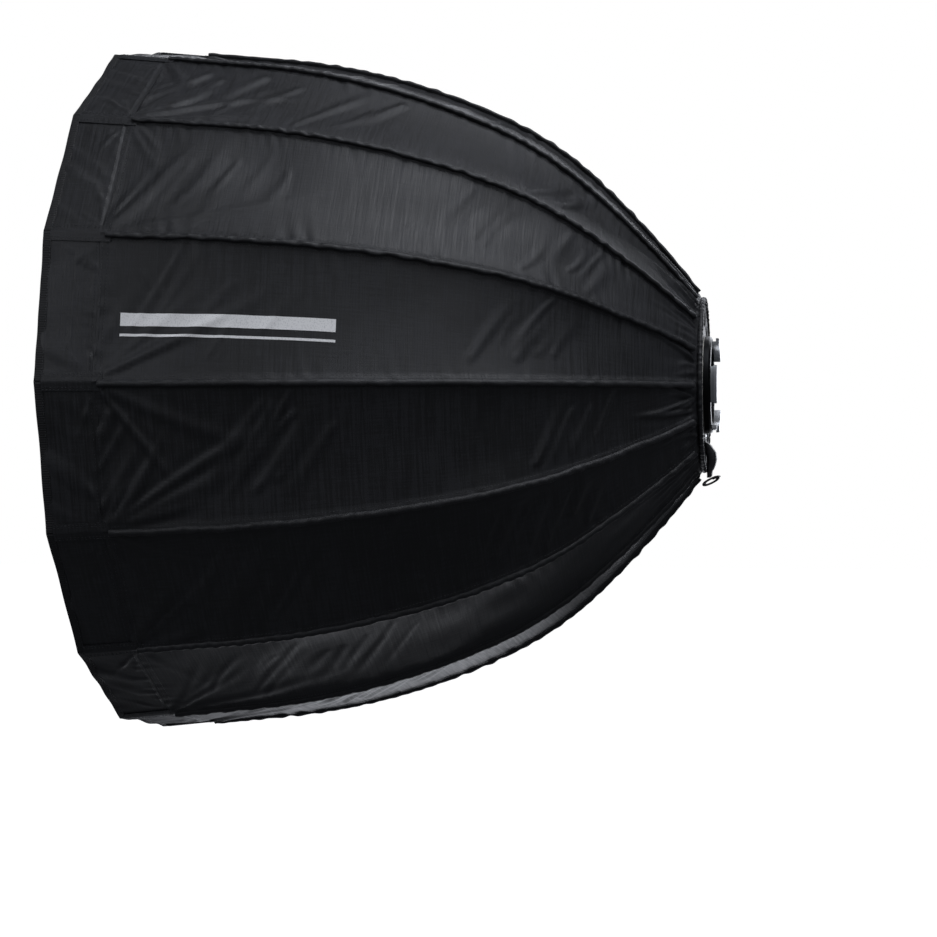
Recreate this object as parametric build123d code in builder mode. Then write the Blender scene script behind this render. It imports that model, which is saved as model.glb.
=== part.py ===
from build123d import *
import os
from math import cos, degrees, asin, radians, sin, tan

# A folding sixteen-sided deep soft box for a studio light. Millimetres, +Z up.
# The axis is Y. The mouth faces -Y and the light mounts at +Y.
# The origin is the centre of the mount insert's back face, where the light's own face rests.

# The bag. Depth is measured forwards from the neck edge, and radius at a seam or at a panel's middle.
SIDES = 16
STEP = 360 / SIDES
HALF_STEP = STEP / 2
NECK_Y = -13.0
RIM_DEPTH = 718.7
TIP_DEPTH = 653.6
CLOTH = 0.8
SEAM_GAP = 0.2
BAG_REACH = 600.0
# Each line is (start radius, heading off the axis in degrees, tangent arcs as (turn, radius)), then straight.
PANEL_LINE = (108.04, 52.53, ((9.04, 1261.7), (17.48, 448.6), (19.62, 909.6)))
SEAM_LINE = (110.16, 53.07, ((9.02, 1279.2), (17.61, 449.1), (19.93, 896.9)))
# Cloth and shafts are drawn in lengths that meet at these depths, each one nearly straight
PANEL_CUTS = (133.0, 189.0, 245.0, 344.0, 443.0, 542.0, TIP_DEPTH)
SHAFT_CUTS = (133.0, 189.0, 245.0, 394.0, 542.0)

# The rods, which run inside the bag along its seams
ROD_R = 2.0
ROD_INSET = 6.0
HINGE_R = 88.0
HINGE_DEPTH = 14.0
FOOT_THICK = 7.0
FOOT_ROUND = 5.7
FOOT_LENGTH = 26.0
FOOT_OUTER = 3.0
FOOT_INNER = 4.5
PIN_R = 2.0
PIN_FIT = 0.05
CAP_R = 3.8
CAP_LENGTH = 16.0
CAP_CLEAR = 3.0

# The mount insert, which stays still on the light while the box turns round it
THROAT_R = 49.0
BARREL_R = 56.0
BARREL_FIT = 0.05
FLANGE_R = 62.0
FLANGE_THICK = 9.0
FLANGE_CHAMFER = 2.5
WASHER = 1.0
WASHER_R = 61.0
END_PLAY = 0.1
HUB_WIDTH = 22.5
HUB_R = 76.0
RETAINER_THICK = 4.5
RETAINER_R = 66.0
LUG_COUNT = 3
LUG_WIDTH = 48.0
LUG_IN = 52.0
LUG_STEM_OUT = 56.5
LUG_OUT = 60.5
LUG_DEPTH = 8.0
LUG_TAB = 4.0
STOP_ANGLE = -72.0
STOP_SIZE = 6.0
SCREW_COUNT = 6
SCREW_R = 1.5
SCREW_HEAD_R = 2.75
SCREW_HEAD = 3.0
SCREW_LENGTH = 12.0
SCREW_RING_R = (THROAT_R + BARREL_R) / 2

# The hub ring's ears and the leaf springs that hold the rods open
EAR_THICK = 3.0
EAR_GAP = FOOT_THICK + 0.4
RIVET_HEAD_R = 3.2
RIVET_HEAD = 1.0
LEAF_THICK = 0.8
LEAF_WIDTH = 6.0
LEAF_RIVET_R = 1.2

# The neck, its flap, and the two pieces of white cloth
CUFF_IN = 79.0
CUFF_OUT = 105.5
BINDING_R = 109.0
BINDING_BEAD = 2.3
FLAP_WIDTH = 28.0
FLAP_THICK = 1.6
FLAP_ROOT_Z = -67.0
FLAP_BEND_Z = -72.0
FLAP_MIDDLE_Z = -97.0
FLAP_LOW_Z = -112.5
FLAP_CLEAR_Y = -7.4
FLAP_BULGE = 5.0
FLAP_END = (-3.0, -117.45)
TAB_SIZE = (26.0, 9.0)
TAB_CENTRE = (-2.0, -122.0)
TAB_TILT = 26.0
DIFFUSER_DEPTH = 664.0
DIFFUSER_R = 439.2
HEM_WIDTH = 20.0
HEM_TAPER = -6.4
BAFFLE_DEPTH = 400.0
BAFFLE_R = 330.0
BAFFLE_TAB_END = 390.5
BAFFLE_TAB_WIDTH = 20.0
SNAP_R = 5.0
SNAP_THICK = 1.5

hub_back = -FLANGE_THICK - WASHER - END_PLAY
hub_front = hub_back - HUB_WIDTH
washer_front = hub_front - END_PLAY - WASHER
retainer_front = washer_front - RETAINER_THICK

os.makedirs("parts", exist_ok=True)


def save(part, name):
    """Label a finished piece and write it under its node's name."""
    part.label = name
    export_step(part, f"parts/{name}.step")


def radial_plane(angle):
    """Plane through the axis: x is the radius, y the depth forward of the neck edge."""
    a = radians(angle)
    return Plane(origin=(0, NECK_Y, 0), x_dir=(cos(a), 0, sin(a)), z_dir=(sin(a), 0, -cos(a)))


def cross_plane(y):
    """Plane square to the axis at y: local x is X, local y is Z, and it extrudes towards -Y."""
    return Plane(origin=(0, y, 0), x_dir=(1, 0, 0), z_dir=(0, -1, 0))


def line_arcs(line, inset, depth):
    """Arcs of a line set inwards, as (start, direction, radius, turn), its last corner and its end."""
    start_radius, heading, arcs = line
    a = radians(heading)
    r = start_radius - inset * cos(a)
    s = inset * sin(a)
    found = []
    for turn, arc_radius in arcs:
        radius = arc_radius - inset
        found.append(((r, s), (sin(a), cos(a)), radius, turn))
        b = a - radians(turn)
        r += radius * (cos(b) - cos(a))
        s += radius * (sin(a) - sin(b))
        a = b
    return found, (r, s), (r + (depth - s) * tan(a), depth)


def draw_line(line, inset, depth):
    """Draw a set-in line in the sketch plane, and give its two ends."""
    arcs, corner, end = line_arcs(line, inset, depth)
    for start, direction, radius, turn in arcs:
        JernArc(start, direction, radius, turn)
    Line(corner, end)
    return arcs[0][0], end


def ring(inner, outer, back, front):
    """Plain ring about the axis between two planes."""
    with BuildPart() as made:
        with BuildSketch(cross_plane(back)):
            Circle(outer)
            Circle(inner, mode=Mode.SUBTRACT)
        extrude(amount=back - front)
    return made.part


# Mount insert: flange, barrel, three bayonet lugs and the stop that the light's locking pin meets
lug_turn = 2 * degrees(asin(LUG_WIDTH / 2 / LUG_OUT))
with BuildPart() as mount_insert:
    with BuildSketch(Plane.XY):
        with BuildLine():
            Polyline(
                (THROAT_R, 0),
                (FLANGE_R - FLANGE_CHAMFER, 0),
                (FLANGE_R, -FLANGE_CHAMFER),
                (FLANGE_R, -FLANGE_THICK),
                (BARREL_R, -FLANGE_THICK),
                (BARREL_R, washer_front),
                (THROAT_R, washer_front),
                close=True,
            )
        make_face()
    revolve(axis=Axis.Y)
    for count in range(LUG_COUNT):
        turn = 360 / LUG_COUNT * count + lug_turn / 2
        with BuildSketch(Plane.XY.rotated((0, -turn, 0))):
            with BuildLine():
                Polyline(
                    (LUG_IN, -1),
                    (LUG_STEM_OUT, -1),
                    (LUG_STEM_OUT, LUG_DEPTH - LUG_TAB),
                    (LUG_OUT, LUG_DEPTH - LUG_TAB),
                    (LUG_OUT, LUG_DEPTH - 1),
                    (LUG_OUT - 1, LUG_DEPTH),
                    (LUG_IN, LUG_DEPTH),
                    close=True,
                )
            make_face()
        revolve(axis=Axis.Y, revolution_arc=lug_turn)
    stop_x = 56.5 * cos(radians(STOP_ANGLE))
    stop_z = 56.5 * sin(radians(STOP_ANGLE))
    with BuildSketch(Plane(origin=(0, 0, 0), x_dir=(1, 0, 0), z_dir=(0, 1, 0))):
        with Locations((stop_x, -stop_z)):
            RectangleRounded(STOP_SIZE, STOP_SIZE, 1, rotation=-STOP_ANGLE)
    extrude(amount=STOP_SIZE)
    with BuildSketch(cross_plane(washer_front)):
        with PolarLocations(SCREW_RING_R, SCREW_COUNT, start_angle=30):
            Circle(SCREW_R)
    extrude(amount=-SCREW_LENGTH, mode=Mode.SUBTRACT)
save(mount_insert.part, "mount_insert")

# Retaining ring: screwed to the barrel's front end, it keeps the hub ring on
with BuildPart() as retaining_ring:
    with BuildSketch(cross_plane(washer_front)):
        Circle(RETAINER_R)
        Circle(THROAT_R, mode=Mode.SUBTRACT)
    extrude(amount=RETAINER_THICK)
    outer_edge = retaining_ring.edges().filter_by(GeomType.CIRCLE).group_by(SortBy.RADIUS)[-1]
    chamfer(outer_edge, 0.8)
    with BuildSketch(cross_plane(washer_front)):
        with PolarLocations(SCREW_RING_R, SCREW_COUNT, start_angle=30):
            Circle(SCREW_R)
    extrude(amount=RETAINER_THICK, mode=Mode.SUBTRACT)
    with BuildSketch(cross_plane(retainer_front)):
        with PolarLocations(SCREW_RING_R, SCREW_COUNT, start_angle=30):
            Circle(SCREW_HEAD_R)
    extrude(amount=-SCREW_HEAD, mode=Mode.SUBTRACT)
save(retaining_ring.part, "retaining_ring")

# Six socket-head screws, sunk in the retaining ring
with BuildPart() as retaining_screws:
    with BuildSketch(cross_plane(retainer_front)):
        with PolarLocations(SCREW_RING_R, SCREW_COUNT, start_angle=30):
            Circle(SCREW_HEAD_R - 0.05)
    extrude(amount=-SCREW_HEAD)
    with BuildSketch(cross_plane(retainer_front + SCREW_HEAD)):
        with PolarLocations(SCREW_RING_R, SCREW_COUNT, start_angle=30):
            Circle(SCREW_R - 0.02)
    extrude(amount=-(SCREW_LENGTH - 2))
    with BuildSketch(cross_plane(retainer_front)):
        with PolarLocations(SCREW_RING_R, SCREW_COUNT, start_angle=30):
            RegularPolygon(1.4, 6)
    extrude(amount=-SCREW_HEAD / 2, mode=Mode.SUBTRACT)
save(retaining_screws.part, "retaining_screws")

# Two nylon washers that the hub ring turns between
save(ring(BARREL_R + 0.1, WASHER_R, -FLANGE_THICK, -FLANGE_THICK - WASHER), "rear_glide_washer")
save(ring(BARREL_R + 0.1, WASHER_R, washer_front + WASHER, washer_front), "front_glide_washer")

# Hub ring: turns on the barrel and carries a pair of ears for each rod
hinge_y = NECK_Y - HINGE_DEPTH
with BuildPart() as hub_ring:
    with BuildSketch(cross_plane(hub_back)):
        Circle(HUB_R)
        Circle(BARREL_R + BARREL_FIT, mode=Mode.SUBTRACT)
    extrude(amount=HUB_WIDTH)
    rims = hub_ring.edges().filter_by(GeomType.CIRCLE).group_by(SortBy.RADIUS)[-1]
    chamfer(rims, 1.0)
    for side in range(SIDES):
        with BuildSketch(radial_plane(STEP * side)):
            with Locations((HINGE_R, HINGE_DEPTH)):
                Circle(FOOT_ROUND)
            with Locations(((HINGE_R + HUB_R - 2) / 2, HINGE_DEPTH)):
                Rectangle(HINGE_R - HUB_R + 2, 2 * FOOT_ROUND)
        extrude(amount=EAR_GAP / 2 + EAR_THICK, both=True)
        with BuildSketch(radial_plane(STEP * side)):
            with Locations((HINGE_R, HINGE_DEPTH)):
                Rectangle(2 * (HINGE_R - HUB_R - 1), 4 * FOOT_ROUND)
        extrude(amount=EAR_GAP / 2, both=True, mode=Mode.SUBTRACT)
        with BuildSketch(radial_plane(STEP * side)):
            with Locations((HINGE_R, HINGE_DEPTH)):
                Circle(PIN_R + 0.02)
        extrude(amount=EAR_GAP / 2 + EAR_THICK, both=True, mode=Mode.SUBTRACT)
save(hub_ring.part, "hub_ring")

# Sixteen hinge pins with a head at each end
with BuildPart() as hinge_pins:
    for side in range(SIDES):
        with BuildSketch(radial_plane(STEP * side)):
            with Locations((HINGE_R, HINGE_DEPTH)):
                Circle(PIN_R)
        extrude(amount=EAR_GAP / 2 + EAR_THICK + RIVET_HEAD, both=True)
        for end in (-1, 1):
            with BuildSketch(radial_plane(STEP * side).offset(end * (EAR_GAP / 2 + EAR_THICK + 0.02))):
                with Locations((HINGE_R, HINGE_DEPTH)):
                    Circle(RIVET_HEAD_R)
            extrude(amount=end * RIVET_HEAD)
save(hinge_pins.part, "hinge_pins")

# Leaf springs: riveted to the hub's front rim, each presses on the round of one rod's foot
leaf_depth = NECK_Y - hub_front
with BuildPart() as latch_springs:
    for side in range(SIDES):
        with BuildSketch(radial_plane(STEP * side)):
            with BuildLine():
                Polyline(
                    (HUB_R - 8, leaf_depth + 0.05),
                    (HINGE_R - 3, leaf_depth + 1.2),
                    (HINGE_R + 4, leaf_depth + 0.6),
                    (HINGE_R + 6, leaf_depth + 1.6),
                    (HINGE_R + 6, leaf_depth + 1.6 + LEAF_THICK),
                    (HINGE_R + 4, leaf_depth + 0.6 + LEAF_THICK),
                    (HINGE_R - 3, leaf_depth + 1.2 + LEAF_THICK),
                    (HUB_R - 8, leaf_depth + 0.05 + LEAF_THICK),
                    close=True,
                )
            make_face()
        extrude(amount=LEAF_WIDTH / 2, both=True)
save(latch_springs.part, "latch_springs")

# Rivets through the leaf springs' roots
with BuildPart() as latch_rivets:
    with BuildSketch(cross_plane(hub_front - LEAF_THICK - 0.6)):
        with PolarLocations(HUB_R - 5.5, SIDES):
            Circle(LEAF_RIVET_R + 0.9)
    extrude(amount=RIVET_HEAD)
save(latch_rivets.part, "latch_rivets")

# Neck cuff: gathered cloth that closes the neck round the hub
save(ring(CUFF_IN, CUFF_OUT, NECK_Y + CLOTH + 0.3, NECK_Y + 0.3), "neck_cuff")

# Neck binding: the corded edge at the back of the bag
with BuildPart() as neck_binding:
    with BuildSketch(Plane.XY):
        with Locations((BINDING_R, NECK_Y + BINDING_BEAD + 0.4)):
            Circle(BINDING_BEAD)
    revolve(axis=Axis.Y)
save(neck_binding.part, "neck_binding")

# Neck flap: a padded cloth flap hinged under its anchor on the hub's back face, bowed over the neck edge
flap_plane = Plane(origin=(0, 0, 0), x_dir=(0, 1, 0), z_dir=(1, 0, 0))
flap_y = hub_back + 0.05
flap_back = flap_y + FLAP_THICK
with BuildPart() as neck_flap:
    with BuildSketch(flap_plane):
        with BuildLine():
            Polyline(
                FLAP_END,
                (FLAP_CLEAR_Y, FLAP_LOW_Z),
                (FLAP_CLEAR_Y, FLAP_MIDDLE_Z),
                (flap_y, -HUB_R),
                (flap_y, FLAP_ROOT_Z),
                (flap_back, FLAP_ROOT_Z),
                (flap_back, FLAP_BEND_Z),
            )
            ThreePointArc((flap_back, FLAP_BEND_Z), (FLAP_BULGE, FLAP_MIDDLE_Z), FLAP_END)
        make_face()
    extrude(amount=FLAP_WIDTH / 2, both=True)
save(neck_flap.part, "neck_flap")

# Anchor bar that traps the flap's root against the hub
with BuildPart() as flap_anchor:
    with BuildSketch(flap_plane):
        with Locations((hub_back + FLAP_THICK / 2, (FLAP_ROOT_Z - FLANGE_R) / 2)):
            Rectangle(FLAP_THICK, abs(FLAP_ROOT_Z) - FLANGE_R - 2)
    extrude(amount=FLAP_WIDTH / 2, both=True)
save(flap_anchor.part, "flap_anchor")

# Rolled tab at the flap's free end, to pull it by
with BuildPart() as flap_pull_tab:
    with BuildSketch(flap_plane):
        with Locations(TAB_CENTRE):
            RectangleRounded(TAB_SIZE[0], TAB_SIZE[1], TAB_SIZE[1] / 2 - 0.3, rotation=TAB_TILT)
    extrude(amount=FLAP_WIDTH / 2 + 2, both=True)
save(flap_pull_tab.part, "flap_pull_tab")

# Rods: hinged foot, bent steel shaft and nylon tip cap, one of each on every seam
foot_a = radians(SEAM_LINE[1])
along = (sin(foot_a), cos(foot_a))
outward = (cos(foot_a), -sin(foot_a))
root_r = SEAM_LINE[0] - ROD_INSET * cos(foot_a)
root_s = ROD_INSET * sin(foot_a)


def from_root(run, out):
    """Point beside the rod's start: run along it, and out towards the cloth."""
    return (root_r + run * along[0] + out * outward[0], root_s + run * along[1] + out * outward[1])


foot_back = from_root(3, FOOT_OUTER)
shaft_end_depth = TIP_DEPTH - CAP_CLEAR
for side in range(SIDES):
    plane = radial_plane(STEP * side)
    with BuildPart() as shaft:
        with BuildLine(plane) as route:
            draw_line(SEAM_LINE, ROD_INSET, shaft_end_depth)
        with BuildSketch(Plane(origin=route.line @ 0, z_dir=route.line % 0)):
            Circle(ROD_R)
        sweep(path=route.line)
        for depth in SHAFT_CUTS:
            split(bisect_by=Plane.XZ.offset(depth - NECK_Y), keep=Keep.BOTH)
    with BuildPart() as foot:
        with BuildSketch(plane):
            with Locations((HINGE_R, HINGE_DEPTH)):
                Circle(FOOT_ROUND)
            with BuildLine():
                Polyline(
                    (HINGE_R, HINGE_DEPTH - FOOT_ROUND),
                    (root_r - 3, foot_back[1]),
                    foot_back,
                    from_root(FOOT_LENGTH, FOOT_OUTER),
                    from_root(FOOT_LENGTH, -FOOT_INNER),
                    (HINGE_R, HINGE_DEPTH + FOOT_ROUND),
                    close=True,
                )
            make_face()
        extrude(amount=FOOT_THICK / 2, both=True)
        with BuildSketch(plane):
            with Locations((HINGE_R, HINGE_DEPTH)):
                Circle(PIN_R + PIN_FIT)
        extrude(amount=FOOT_THICK, both=True, mode=Mode.SUBTRACT)
        add(shaft.part, mode=Mode.SUBTRACT)
    arcs, corner, end = line_arcs(SEAM_LINE, ROD_INSET, shaft_end_depth)
    slope = (end[0] - corner[0]) / (end[1] - corner[1])
    cap_back = (end[0] - CAP_LENGTH * slope, end[1] - CAP_LENGTH)
    cap_axis = plane.from_local_coords((*end, 0)) - plane.from_local_coords((*cap_back, 0))
    with BuildPart() as cap:
        with BuildSketch(Plane(origin=plane.from_local_coords((*cap_back, 0)), z_dir=cap_axis)):
            Circle(CAP_R)
        extrude(amount=CAP_LENGTH + 2 * CAP_CLEAR)
        fillet(cap.edges().sort_by(Axis.Y)[0], CAP_R - 0.8)
        add(shaft.part, mode=Mode.SUBTRACT)
    rod = Compound(children=[foot.part, *shaft.solids(), cap.part])
    save(rod, f"rod_{side + 1:02d}")

# Gores: one cloth panel and its lip between each pair of seams. The lip begins at the last cut
with BuildPart() as gore:
    with BuildSketch(radial_plane(0)):
        with BuildLine():
            outer_start, outer_end = draw_line(PANEL_LINE, 0, RIM_DEPTH)
            inner_start, inner_end = draw_line(PANEL_LINE, CLOTH, RIM_DEPTH)
            Line(outer_start, inner_start)
            Line(outer_end, inner_end)
        make_face()
    extrude(amount=RIM_DEPTH * sin(radians(HALF_STEP)), both=True)
    apex = SEAM_GAP / sin(radians(HALF_STEP))
    wing = BAG_REACH * tan(radians(HALF_STEP))
    with BuildSketch(cross_plane(NECK_Y + 1)):
        with BuildLine():
            Polyline((apex, 0), (apex + BAG_REACH, wing), (apex + BAG_REACH, -wing), close=True)
        make_face()
    extrude(amount=RIM_DEPTH + 10, mode=Mode.INTERSECT)
    for depth in PANEL_CUTS:
        split(bisect_by=Plane.XZ.offset(depth - NECK_Y), keep=Keep.BOTH)
for side in range(SIDES):
    turned = gore.part.rotate(Axis.Y, -(STEP * side + HALF_STEP))
    save(turned, f"gore_{side + 1:02d}")

# Front diffuser: white cloth across the mouth, held in the lip by a hem of hook tape
with BuildPart() as front_diffuser:
    with BuildSketch(cross_plane(NECK_Y - DIFFUSER_DEPTH)):
        RegularPolygon(DIFFUSER_R, SIDES)
    extrude(amount=CLOTH)
save(front_diffuser.part, "front_diffuser")

with BuildPart() as diffuser_hem:
    with BuildSketch(cross_plane(NECK_Y - DIFFUSER_DEPTH - CLOTH)):
        RegularPolygon(DIFFUSER_R, SIDES)
    extrude(amount=HEM_WIDTH, taper=HEM_TAPER)
    with BuildSketch(cross_plane(NECK_Y - DIFFUSER_DEPTH - CLOTH)):
        RegularPolygon(DIFFUSER_R - CLOTH, SIDES)
    extrude(amount=HEM_WIDTH, taper=HEM_TAPER, mode=Mode.SUBTRACT)
save(diffuser_hem.part, "diffuser_hem")

# Inner baffle: a smaller white disc with a webbing tab and a snap towards each seam
with BuildPart() as inner_baffle:
    with BuildSketch(cross_plane(NECK_Y - BAFFLE_DEPTH)):
        RegularPolygon(BAFFLE_R, SIDES)
    extrude(amount=CLOTH)
save(inner_baffle.part, "inner_baffle")

tab_back = BAFFLE_R - 12
with BuildPart() as baffle_tabs:
    with BuildSketch(cross_plane(NECK_Y - BAFFLE_DEPTH - CLOTH)):
        with PolarLocations((tab_back + BAFFLE_TAB_END) / 2, SIDES):
            Rectangle(BAFFLE_TAB_END - tab_back, BAFFLE_TAB_WIDTH)
    extrude(amount=CLOTH)
save(baffle_tabs.part, "baffle_tabs")

with BuildPart() as baffle_snaps:
    with BuildSketch(cross_plane(NECK_Y - BAFFLE_DEPTH - 2 * CLOTH)):
        with PolarLocations(BAFFLE_TAB_END - 10, SIDES):
            Circle(SNAP_R)
    extrude(amount=SNAP_THICK)
save(baffle_snaps.part, "baffle_snaps")
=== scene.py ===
"""A deep folding softbox on a rotating speedring: its cloth, seams, stitches, trims and finishes."""

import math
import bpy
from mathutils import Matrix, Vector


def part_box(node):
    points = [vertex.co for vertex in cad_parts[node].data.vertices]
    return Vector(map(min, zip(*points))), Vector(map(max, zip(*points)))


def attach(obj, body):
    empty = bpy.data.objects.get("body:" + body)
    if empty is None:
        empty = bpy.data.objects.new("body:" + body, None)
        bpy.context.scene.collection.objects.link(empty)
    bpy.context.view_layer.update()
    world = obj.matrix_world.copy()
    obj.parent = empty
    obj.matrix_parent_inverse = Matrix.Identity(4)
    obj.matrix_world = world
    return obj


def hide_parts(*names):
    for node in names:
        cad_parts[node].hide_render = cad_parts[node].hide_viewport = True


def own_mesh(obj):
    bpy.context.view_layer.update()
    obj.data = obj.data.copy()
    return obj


bl_info = {
    "name": "Deep Folding Softbox",
    "version": (1, 0, 0),
    "blender": (4, 5, 0),
    "location": "View3D > Sidebar > Softbox",
    "description": "Builds the cloth, seams and finishes of a sixteen-sided folding softbox",
    "category": "Add Mesh",
}

import bmesh
import bpy
import numpy as np
from mathutils import Matrix, Vector

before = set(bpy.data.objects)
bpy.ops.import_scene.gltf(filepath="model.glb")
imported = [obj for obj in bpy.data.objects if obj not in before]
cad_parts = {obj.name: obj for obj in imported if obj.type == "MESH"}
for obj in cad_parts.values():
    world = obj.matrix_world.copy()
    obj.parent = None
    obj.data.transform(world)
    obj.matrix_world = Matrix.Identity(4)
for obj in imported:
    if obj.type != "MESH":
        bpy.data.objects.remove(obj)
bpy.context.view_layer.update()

MM = 0.001
SIDES = 16
STEP = 2 * math.pi / SIDES
HALF = STEP / 2
NECK_Y = float(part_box("gore_01")[1][1])
RIM_DEPTH = NECK_Y - float(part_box("gore_01")[0][1])
TIP_DEPTH = RIM_DEPTH - 65.1 * MM
HUB_BACK_Y = float(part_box("hub_ring")[1][1])
HUB_R = 76 * MM
CUFF_INNER_R = HUB_R + 3 * MM
# The flap: its cloth, where it turns down from the hub and where it swells clear of the cuff
FLAP_CLOTH = 1.6 * MM
FLAP_BEND_Z = -72 * MM
FLAP_SWELL_Z = -95 * MM
FLAP_CLEAR_Y = -7.4 * MM
FLAP_END_Y = -3.4 * MM
TAB_TILT = math.radians(26)
# Where the camera looks: how far in front of the neck, and how far left of and below the axis
AIM_DEPTH = 270.7 * MM
AIM_LEFT = 31.1 * MM
AIM_DOWN = 105.3 * MM
# Cloth of the diffuser and baffle, and the bars printed on the first panel
DIFFUSION_CLOTH = 0.7 * MM
BAR_RUNS = (492 * MM, 735 * MM)
BARS = ((-21 * MM, -6 * MM), (-33 * MM, -30 * MM))
AXIS = np.array([0.0, 1.0, 0.0])
# X and Z, for patterns on cloth that faces along the axis
FACE = [0, 2]
# The seam line: start radius, heading off the axis, then tangent arcs as (turn, radius) and a straight run
SEAM_START = 110.16 * MM
SEAM_HEADING = math.radians(53.07)
SEAM_ARCS = (
    (math.radians(9.02), 1279.2 * MM),
    (math.radians(17.61), 449.1 * MM),
    (math.radians(19.93), 896.9 * MM),
)


# Shortest and longest waves of the cloth: billows along a panel, puckers at a seam, gathers at an edge
BILLOWS = (0.12, 0.30)
PUCKERS = (0.013, 0.034)
GATHERS = (0.012, 0.03)
MOST_CREASE = 3.2 * MM
# How creased each panel is, from gore_01 round
SLACK = (0.6, 0.55, 1.6, 1.1, 0.9, 1.2, 0.8, 1.3, 0.9, 1.1, 0.7, 1.2, 1.0, 0.5, 1.2, 1.8)


# ---------------------------------------------------------------- shape of the bag


def seam_line(fine=600):
    """Depths, radii and headings along the seam line, evenly fine."""
    depth, radius, heading = [0.0], [SEAM_START], [SEAM_HEADING]
    s, r, a = 0.0, SEAM_START, SEAM_HEADING
    for turn, bend in SEAM_ARCS:
        for step in range(1, fine // 3 + 1):
            b = a - turn * step / (fine // 3)
            depth.append(s + bend * (math.sin(a) - math.sin(b)))
            radius.append(r + bend * (math.cos(b) - math.cos(a)))
            heading.append(b)
        s, r, a = depth[-1], radius[-1], a - turn
    depth.append(RIM_DEPTH + 0.02)
    radius.append(r + (depth[-1] - s) * math.tan(a))
    heading.append(a)
    return np.array(depth), np.array(radius), np.array(heading)


LINE_S, LINE_R, LINE_A = seam_line()
LINE_RUN = np.concatenate([[0], np.cumsum(np.hypot(np.diff(LINE_S), np.diff(LINE_R)))])


def seam_radius(s):
    return np.interp(s, LINE_S, LINE_R)


def seam_heading(s):
    return np.interp(s, LINE_S, LINE_A)


def run_at(s):
    """Length of cloth from the neck edge to depth s."""
    return np.interp(s, LINE_S, LINE_RUN)


def depth_at(run):
    return np.interp(run, LINE_RUN, LINE_S)


def radial(angle):
    return np.array([math.cos(angle), 0.0, math.sin(angle)])


def tangential(angle):
    return np.array([-math.sin(angle), 0.0, math.cos(angle)])


def placed(angle, out, across, y):
    """Points at a distance from the axis, off to one side and along it, at an angle round it."""
    return out[..., None] * radial(angle) + across[..., None] * tangential(angle) + y[..., None] * AXIS


def around(r, turn, y):
    """Points at radius r, turned round the axis, at y."""
    return np.stack([r * np.cos(turn), y, r * np.sin(turn)], axis=-1)


def gore_angle(index):
    return STEP * (index + 0.5)


def seam_angle(index):
    return STEP * index


def on_gore(index, s, u, lift):
    """Points of a gore: depth s, across u from -1 to 1, lifted outwards. Arrays of one shape."""
    angle = gore_angle(index)
    r = seam_radius(s) * math.cos(HALF)
    a = seam_heading(s)
    out_r = r + lift * np.cos(a)
    y = NECK_Y - s + lift * np.sin(a)
    across = u * r * math.tan(HALF)
    return placed(angle, out_r, across, y)


def on_seam(index, s, side, lift):
    """Points beside a seam: depth s, side metres along the tangent, lifted outwards."""
    angle = seam_angle(index)
    a = seam_heading(s)
    out_r = seam_radius(s) + lift * np.cos(a)
    y = NECK_Y - s + lift * np.sin(a)
    return placed(angle, out_r, side, y)


def ripple(rng, count, low, high):
    """A smooth random function of one number: sines of random wavelength between low and high."""
    waves = rng.uniform(low, high, count)
    phases = rng.uniform(0, 2 * math.pi, count)
    sizes = rng.uniform(0.5, 1.0, count) / math.sqrt(count)

    def value(x):
        return sum(z * np.sin(2 * math.pi * x / w + p) for w, p, z in zip(waves, phases, sizes))

    return value


def smooth(x, low, high):
    t = np.clip((x - low) / (high - low), 0, 1)
    return t * t * (3 - 2 * t)


def crease(rng, start, end, widths, heights, bow):
    """One crease from start to end, with its width, height and bow drawn from ranges in millimetres."""
    return (start, end, rng.uniform(*widths) * MM, rng.uniform(*heights) * MM, rng.uniform(-bow, bow) * MM)


def crease_set(rng, length, start_width, strength):
    """Random creases of one gore: starts and ends are across and along the flat cloth, in metres."""
    wide = seam_radius(TIP_DEPTH) * math.tan(HALF)
    found = []
    # fans from the lip corners, fuller at the lower one
    for side, most, share in ((-1, 7, 1.0), (1, 3, 0.6)):
        for count in range(int(rng.integers(most - 2, most))):
            turn = math.radians(rng.uniform(12, 70))
            reach = rng.uniform(0.12, 0.32) * (1.2 - 0.6 * turn)
            start = (side * (wide - 0.004), length - 0.003)
            end = (start[0] - side * reach * math.sin(turn), start[1] - reach * math.cos(turn))
            found.append(crease(rng, start, end, (5, 12), (share * 1.0, share * 2.4), 9))
    # groups of like creases across the panel, all leaning one way
    slant = rng.uniform(0.5, 0.9)
    for group in range(int(rng.integers(4, 6))):
        run = rng.uniform(0.16, 0.92) * length
        lean = slant * rng.uniform(0.85, 1.15)
        for count in range(int(rng.integers(3, 6))):
            run += rng.uniform(0.014, 0.034)
            half_width = seam_radius(depth_at(run)) * math.sin(HALF)
            first, last = rng.uniform(-0.97, -0.3), rng.uniform(0.3, 0.97)
            if rng.random() < 0.5:
                first, last = last, first
            start = (first * half_width, run - lean * first * half_width)
            end = (last * half_width, run - lean * last * half_width)
            found.append(crease(rng, start, end, (5, 12), (0.6, 1.6), 8))
    # short ones out of the neck
    for count in range(int(rng.integers(6, 9))):
        place = rng.uniform(-0.85, 0.85)
        reach = rng.uniform(0.03, 0.13)
        start = (place * start_width, 0.004)
        end = ((place + rng.uniform(-0.4, 0.5)) * (start_width + 0.35 * reach), reach)
        found.append(crease(rng, start, end, (3, 6), (0.7, 1.7), 5))
    return [(start, end, width, strength * height, bow) for start, end, width, height, bow in found]


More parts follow.
